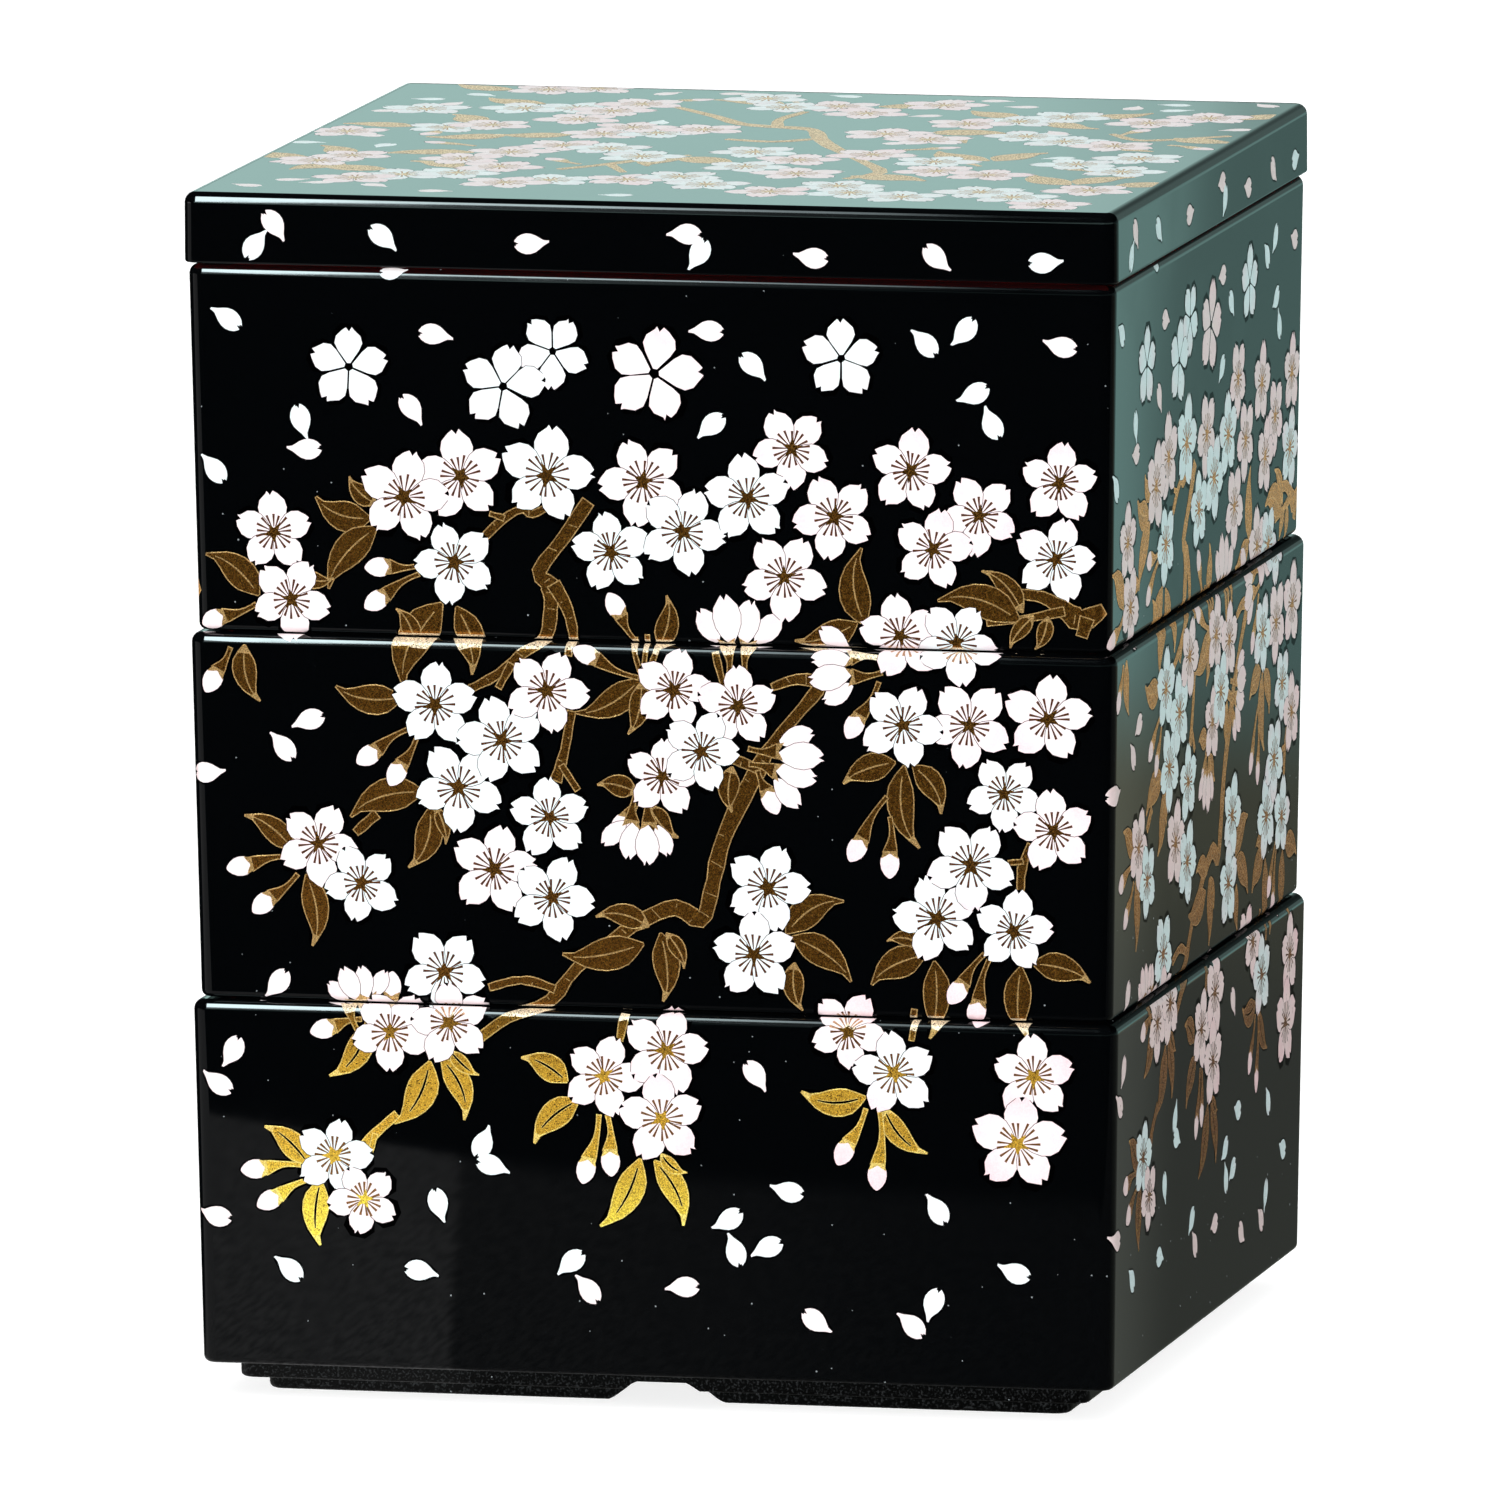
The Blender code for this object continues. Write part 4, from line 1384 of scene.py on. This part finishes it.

# Gold: on the front and back yellow powder low down, a painted reflection of the pale table, and brown higher
# up;
# browner and less metallic on the left and right, painted as lit, and pale on the lid's top and on the
# rounded edges as a painted highlight; the turns are heights in metres
goldPaint = {
    "turns": (("low", 0.022, 0.05), ("high", 0.057, 0.072)),
    "groundTurn": (0.02, 0.06),
    "sideTurn": (0.03, 0.16),
    "lidTurn": (0.2095, 0.2103),
    "ior": 1.2,
    "tint": (0.75, 0.45, 0.2, 1),
    "ground": (0.03, 0.014, 0.004, 1), "groundLow": (0.42, 0.29, 0.04, 1),
    "rough": (0.2, 0.34),
    "powder": {"bright": (1.0, 0.86, 0.10, 1), "low": (0.86, 0.49, 0.055, 1), "high": (0.38, 0.15, 0.026, 1),
               "sideLow": (0.14, 0.055, 0.02, 1), "side": (0.55, 0.27, 0.07, 1), "pale": (1.0, 0.80, 0.56, 1),
               "metal": (0.2, 0.6, 0.93, 0.2, 0.4), "cover": 0.9, "tilt": 0.14},
    # the raised line is inked lighter than the powder, a painted highlight on the relief
    "line": {"bright": (1.0, 0.86, 0.20, 1), "low": (1.0, 0.72, 0.20, 1), "high": (0.66, 0.41, 0.16, 1),
             "sideLow": (0.26, 0.13, 0.05, 1), "side": (0.72, 0.42, 0.16, 1), "pale": (1.0, 0.80, 0.56, 1),
             "metal": (0.2, 0.45, 0.62, 0.2, 0.4), "cover": 1.1, "tilt": 0.1},
    "pistil": {"bright": (0.24, 0.115, 0.03, 1), "low": (0.17, 0.075, 0.025, 1),
               "high": (0.10, 0.036, 0.018, 1), "sideLow": (0.10, 0.04, 0.02, 1),
               "side": (0.26, 0.11, 0.05, 1), "pale": (0.5, 0.28, 0.16, 1),
               "metal": (0.3, 0.3, 0.3, 0.2, 0.3), "cover": 1.1, "tilt": 0.14},
}


sideFacing = (0.4, 0.8)  # x of the normal, where the front's colours give way to the sides' painted light and shade


# 1 where the surface faces left or right; it sets where light and shade are painted on those faces
def paintedSideLightAndShade(tree):
    across = maths(tree, "ABSOLUTE", split(tree, addNode(tree, "TexCoord")["Normal"])[0])
    return fade(tree, across, *sideFacing)


# the blush attribute: pink on petals, and a painted highlight on gold
def blushAndPaintedHighlight(tree):
    return addNode(tree, "Attribute", attribute_name="blush")["Fac"]


def lacquerMaterial(name, groups):
    look = finish[name]
    material, tree, skin = newMaterial(name, look["base"], look["ior"])
    takes = {"Gloss": look["gloss"], "Smudge": look["smudge"], "Peel": look["peel"]}
    worn = useGroup(tree, groups["polish"], takes)
    specks = useGroup(tree, groups["dust"], {"Share": look["dust"]})["Mask"]
    base = look["base"]
    if "grain" in look:
        base = blend(tree, worn["Grain"], base, look["grain"])
    dusty = product(tree, specks, finish["dustRough"])
    feed(tree, skin, {"Base Color": blend(tree, specks, base, finish["dust"]),
                      "Roughness": maths(tree, "ADD", worn["Roughness"], dusty),
                      "Normal": bump(tree, worn["Height"], look["depth"])})
    return material


# Gold whose colour carries painted light: a painted reflection low down, painted-lit sides, and a painted
# highlight on the lid's top and the rounded edges
def goldMaterial(name, groups):
    look = goldPaint[name]
    material, tree, skin = newMaterial(name, look["high"], goldPaint["ior"])
    height = split(tree, objectPlace(tree))[2]
    # a less metallic brown on the left and right faces, painted as lit, and darker low down
    side = blend(tree, fade(tree, height, *goldPaint["sideTurn"]), look["sideLow"], look["side"])
    paintedLidHighlight = fade(tree, height, *goldPaint["lidTurn"])
    # yellow low down is a painted reflection of the pale table, brown higher up
    tones = [(look[tone], fade(tree, height, *turn)) for tone, *turn in goldPaint["turns"]]
    tones.append((side, paintedSideLightAndShade(tree)))
    # pale on the lid's top and where the blush attribute marks the rounded edges: a painted highlight
    tones.append((look["pale"], maths(tree, "MAXIMUM", paintedLidHighlight, blushAndPaintedHighlight(tree))))
    gold, metal = look["bright"], look["metal"][0]
    for (tone, amount), share in zip(tones, look["metal"][1:]):
        gold = blend(tree, amount, gold, tone)
        metal = fade(tree, amount, 0.0, 1.0, metal, share, "LINEAR")
    # the ground under the powder is yellow low down, part of the painted reflection of the table
    groundTurn = fade(tree, height, *goldPaint["groundTurn"])
    smooth, rough = goldPaint["rough"]
    takes = {"Gold": gold, "Ground": blend(tree, groundTurn, goldPaint["groundLow"], goldPaint["ground"]),
             "Metal": metal, "Cover": look["cover"], "Tilt": look["tilt"], "Smooth": smooth, "Rough": rough}
    powder = useGroup(tree, groups["powder"], takes)
    shared = {label: powder[label] for label in ("Metallic", "Roughness", "Normal")}
    feed(tree, skin, {"Base Color": powder["Color"], "Specular Tint": goldPaint["tint"], **shared})
    return material


def petalMaterial(name, groups):
    material, tree, skin = newMaterial(name, petalPaint[name], petalPaint["ior"])
    # the left and right faces get dimmer paint, a painted shade
    paint = blend(tree, paintedSideLightAndShade(tree), petalPaint[name], petalPaint["side"][name])
    takes = {"Paint": paint, "Tint": petalPaint["blush"], "Amount": blushAndPaintedHighlight(tree),
             "Mottle": petalPaint["mottle"]}
    ink = useGroup(tree, groups["ink"], takes)
    feed(tree, skin, {"Base Color": ink["Color"], "Roughness": ink["Roughness"],
                      "Normal": bump(tree, ink["Height"], petalPaint["relief"])})
    return material


def makeMaterials():
    groups = {"polish": polishGroup(), "dust": dustGroup(), "powder": powderGroup(), "ink": inkGroup()}
    makers = {lacquerMaterial: ("lacquer", "edge", "lining", "film", "foot"),
              petalMaterial: ("petal", "coolPetal"), goldMaterial: ("pistil", "powder", "line")}
    made = {name: maker(name, groups) for maker, names in makers.items() for name in names}
    print("materials:", ", ".join(made))
    return [made[name] for name in inks]


studio = {
    "yaw": 12.72, "pitch": 8.09, "roll": -0.222,  # camera angles in degrees; it stands right of the front
    "target": (-0.0030, 0.0095, 0.1029),
    "distance": 5.13,
    "lens": 700.3,
    "sensor": 36.0,
    "reach": 200,  # how far the camera sees
    "ambient": 0.45,
    "floorHalf": 40.0,
    "floorColour": (0.93, 0.93, 0.93, 1),
    "floorGlow": 0.25,
}

# What the glossy lid sees of the room; x and z are parts of the direction
room = {
    "teal": (0.714, 1.088, 1.024),
    "overhead": (0.010, 0.012, 0.013, 1),
    "fadeUp": (0.17, 0.28),  # z, where the teal wall ends
    "fadeRight": ((-0.2105, -0.2045, 1, 0.86), (-0.204, -0.2015, 1, 0.72), (-0.1, 0.15, 1, 0.6)),  # x
    "fadeLeft": (-0.5, -0.28, 0, 1),
}

# What the glossy walls see of the table, in metres
table = {
    "front": (0.9, 0.9, 0.9),
    "edges": ((0.6, -0.2476), (0.13, -0.2786)),  # slope and start of the two lines that bound it in front
    "edgeNoise": (160.0, 4.0),
    "rag": 0.004,
    "edgeTurn": (-0.5, 0.5),  # of the blur
    "blur": (-0.045, -0.02, 0.004, 0.028),
    "lean": 0.2256,  # how far the step in it moves in x for each metre further off
    "stepAt": 0.0185,  # x of the step at y = 0
    "step": (-0.0370, -0.0345, 1, 0.36),
    "stepNoise": (350.0, 3.0),
    "stepRag": 0.003,
    "fadeRight": (-0.035, 0.07, 1, 0.4),
    "drawn": 0.14,  # how far the grain is drawn out in depth
    "grain": 900.0, "grainTurn": (0.3, 0.7, 0.65, 1.35),
    "rearNear": (0.21, 0.23, 0.2, 1), "rearMid": (0.33, 0.35, 0.26, 1), "rearFar": (0.42, 0.75, 0.70, 1),
    "rearTurns": ((0.3, 0.62), (0.62, 0.86)),
    "rearLean": (0.935, -4.54),  # its depth in y and x from the near edge
    "rearFade": (-0.452, -0.392, 1, 0.5),
    "leftDark": (-0.12, 0.0, 0, 1),
    "middle": (-0.09, -0.05),  # y, where the front gives way to the rear
}


def isGlossy(tree):
    return addNode(tree, "LightPath")["Is Glossy Ray"]


def makeWorld():
    world = bpy.data.worlds.new("studio")
    bpy.context.scene.world = world
    tree = emptyTree(world)
    x, _, z = split(tree, addNode(tree, "TexCoord")["Generated"])
    turns = room["fadeLeft"], *room["fadeRight"]
    level = product(tree, *(fade(tree, x, *turn) for turn in turns))
    seen = blend(tree, fade(tree, z, *room["fadeUp"]), scaled(tree, room["teal"], level), room["overhead"])
    white = (studio["ambient"],) * 3 + (1,)
    back = addNode(tree, "Background", {"Color": blend(tree, isGlossy(tree), white, seen)})
    addNode(tree, "OutputWorld", {0: back[0]})


# The table in front of the box: a pale card with a ragged edge and a step in its tone
def tableFront(tree, where, x, y):
    lines = [maths(tree, "MULTIPLY_ADD", x, *line) for line in table["edges"]]
    ragged = maths(tree, "MULTIPLY_ADD", noise(tree, where, *table["edgeNoise"]), table["rag"], y)
    along = maths(tree, "SUBTRACT", x, maths(tree, "MULTIPLY_ADD", y, table["lean"], table["stepAt"]))
    blur = fade(tree, along, *table["blur"], kind="LINEAR")
    inside = maths(tree, "DIVIDE", maths(tree, "SUBTRACT", ragged, maths(tree, "MINIMUM", *lines)), blur)
    spread = addNode(tree, "CombineXYZ", {0: x, 1: product(tree, y, table["drawn"])})[0]
    along = maths(tree, "MULTIPLY_ADD", noise(tree, spread, *table["stepNoise"]), table["stepRag"], along)
    level = product(tree, fade(tree, inside, *table["edgeTurn"]), fade(tree, along, *table["step"]),
                    fade(tree, along, *table["fadeRight"]),
                    fade(tree, noise(tree, spread, table["grain"]), *table["grainTurn"]))
    return scaled(tree, table["front"], level)


def tableRear(tree, x, y):
    low, high = table["rearTurns"]
    rear = blend(tree, fade(tree, y, *low), table["rearNear"], table["rearMid"])
    rear = blend(tree, fade(tree, y, *high), rear, table["rearFar"])
    deep, aside = table["rearLean"]
    depth = maths(tree, "MULTIPLY_ADD", y, deep, product(tree, x, aside))
    level = product(tree, fade(tree, depth, *table["rearFade"]), fade(tree, x, *table["leftDark"]))
    return scaled(tree, rear, level)


def makeFloor():
    half = studio["floorHalf"]
    mesh = bpy.data.meshes.new("floor")
    corners = [(-half, -half, 0), (half, -half, 0), (half, half, 0), (-half, half, 0)]
    mesh.from_pydata(corners, [], [(0, 1, 2, 3)])
    floor = freeObject("floor", mesh)
    material = bpy.data.materials.new("paleTable")
    tree = emptyTree(material)
    where = objectPlace(tree)
    x, y, _ = split(tree, where)
    front, rear = tableFront(tree, where, x, y), tableRear(tree, x, y)
    mirror = addNode(tree, "Emission", {"Color": blend(tree, fade(tree, y, *table["middle"]), front, rear)})
    plain = addNode(tree, "BsdfDiffuse", {"Color": studio["floorColour"]})
    glow = addNode(tree, "Emission", {"Color": (1, 1, 1, 1), "Strength": studio["floorGlow"]})
    lit = addNode(tree, "AddShader", {0: plain[0], 1: glow[0]})
    mix = addNode(tree, "MixShader", {0: isGlossy(tree), 1: lit[0], 2: mirror[0]})
    addNode(tree, "OutputMaterial", {0: mix[0]})
    mesh.materials.append(material)


lights = {
    "sun": {"from": (-0.40, -0.78, 0.95), "strength": 2.75, "angle": 25},
    "strip": {"left": -1.56, "right": -1.13, "far": 5.85, "rises": (6, 76), "pieces": 14, "radiance": 15.0,
              "fades": ((-1.43, -1.34, 1, 0.5), (-1.33, -1.22, 1, 0.35), (-1.21, -1.15, 1, 0.0)),
              "foot": (-1.49, -1.36, 9, 42),  # its lower end rises towards the right, in degrees
              "least": 0.05,  # what is left below it
              "head": 70, "soft": 5, "rag": 26,
              "spread": (55, 0.4), "noise": (1.0, 3.0),
              "colour": (0.82, 1.0, 1.03, 1)},
}


def makeSun():
    look = lights["sun"]
    data = bpy.data.lights.new("sun", "SUN")
    data.energy, data.angle, data.use_shadow = look["strength"], radians(look["angle"]), False
    sun = freeObject("sun", data)
    sun.rotation_euler = Vector(look["from"]).to_track_quat("Z", "Y").to_euler()
    sun.visible_glossy = False


# Tall soft strip, bent over the box, that only shows as a highlight, fainter to the right
def makeStrip():
    look = lights["strip"]
    first, last = look["rises"]
    far, corners, faces = look["far"], [], []
    for i in range(look["pieces"] + 1):
        rise = radians(first + (last - first) * i / look["pieces"])
        corners += [(x, -far * cos(rise), far * sin(rise)) for x in (look["left"], look["right"])]
        faces.append((2 * i, 2 * i + 1, 2 * i + 3, 2 * i + 2))
    mesh = bpy.data.meshes.new("strip")
    mesh.from_pydata(corners, [], faces[:-1])
    strip = freeObject("strip", mesh)
    material = bpy.data.materials.new("stripGlow")
    tree = emptyTree(material)
    x, y, z = split(tree, objectPlace(tree))
    rise = maths(tree, "DEGREES", maths(tree, "ARCTAN2", z, product(tree, y, -1.0)))
    across, up = look["spread"]
    where = addNode(tree, "CombineXYZ", {0: product(tree, x, across), 1: product(tree, rise, up)})[0]
    ragged = maths(tree, "MULTIPLY_ADD", noise(tree, where, *look["noise"]), look["rag"], rise)
    low = maths(tree, "ADD", fade(tree, x, *look["foot"]), look["rag"] / 2)
    level = product(tree, fade(tree, ragged, low, maths(tree, "ADD", low, look["soft"]), look["least"]),
                    fade(tree, rise, look["head"] - look["soft"], look["head"], 1.0, 0.0), look["radiance"],
                    *(fade(tree, x, *turn) for turn in look["fades"]))
    glow = addNode(tree, "Emission", {"Color": look["colour"], "Strength": level})
    addNode(tree, "OutputMaterial", {0: glow[0]})
    mesh.materials.append(material)
    strip.visible_camera = strip.visible_diffuse = strip.visible_shadow = False


def makeCamera():
    yaw, pitch, roll = (radians(studio[name]) for name in ("yaw", "pitch", "roll"))
    back = Vector((sin(yaw) * cos(pitch), -cos(yaw) * cos(pitch), sin(pitch)))
    right = Vector((cos(yaw), sin(yaw), 0))
    turn = Matrix((right, back.cross(right), back)).transposed() @ Matrix.Rotation(roll, 3, "Z")
    data = bpy.data.cameras.new("camera")
    data.lens, data.sensor_width, data.clip_end = studio["lens"], studio["sensor"], studio["reach"]
    camera = freeObject("camera", data)
    place = Vector(studio["target"]) + back * studio["distance"]
    camera.matrix_world = Matrix.Translation(place) @ turn.to_4x4()
    bpy.context.scene.camera = camera


def dressPiece(piece, node, materials):
    for material in materials:
        piece.data.materials.append(material)
    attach(piece, "root")
    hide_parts(node)


materials = makeMaterials()
foot = cutFoot()
figures = sidePrintSheet()
print("print:", len(figures), "figures on each side")
for level, node in enumerate(tierNodes):
    dressPiece(makeTier(node + "_lacquered", level, figures, foot), node, materials)
dressPiece(makeLid("lid_lacquered"), "lid", materials)
makeWorld()
makeFloor()
makeSun()
makeStrip()
makeCamera()
bpy.context.scene.view_settings.view_transform = "Standard"
print("studio: world, floor, lights and camera")
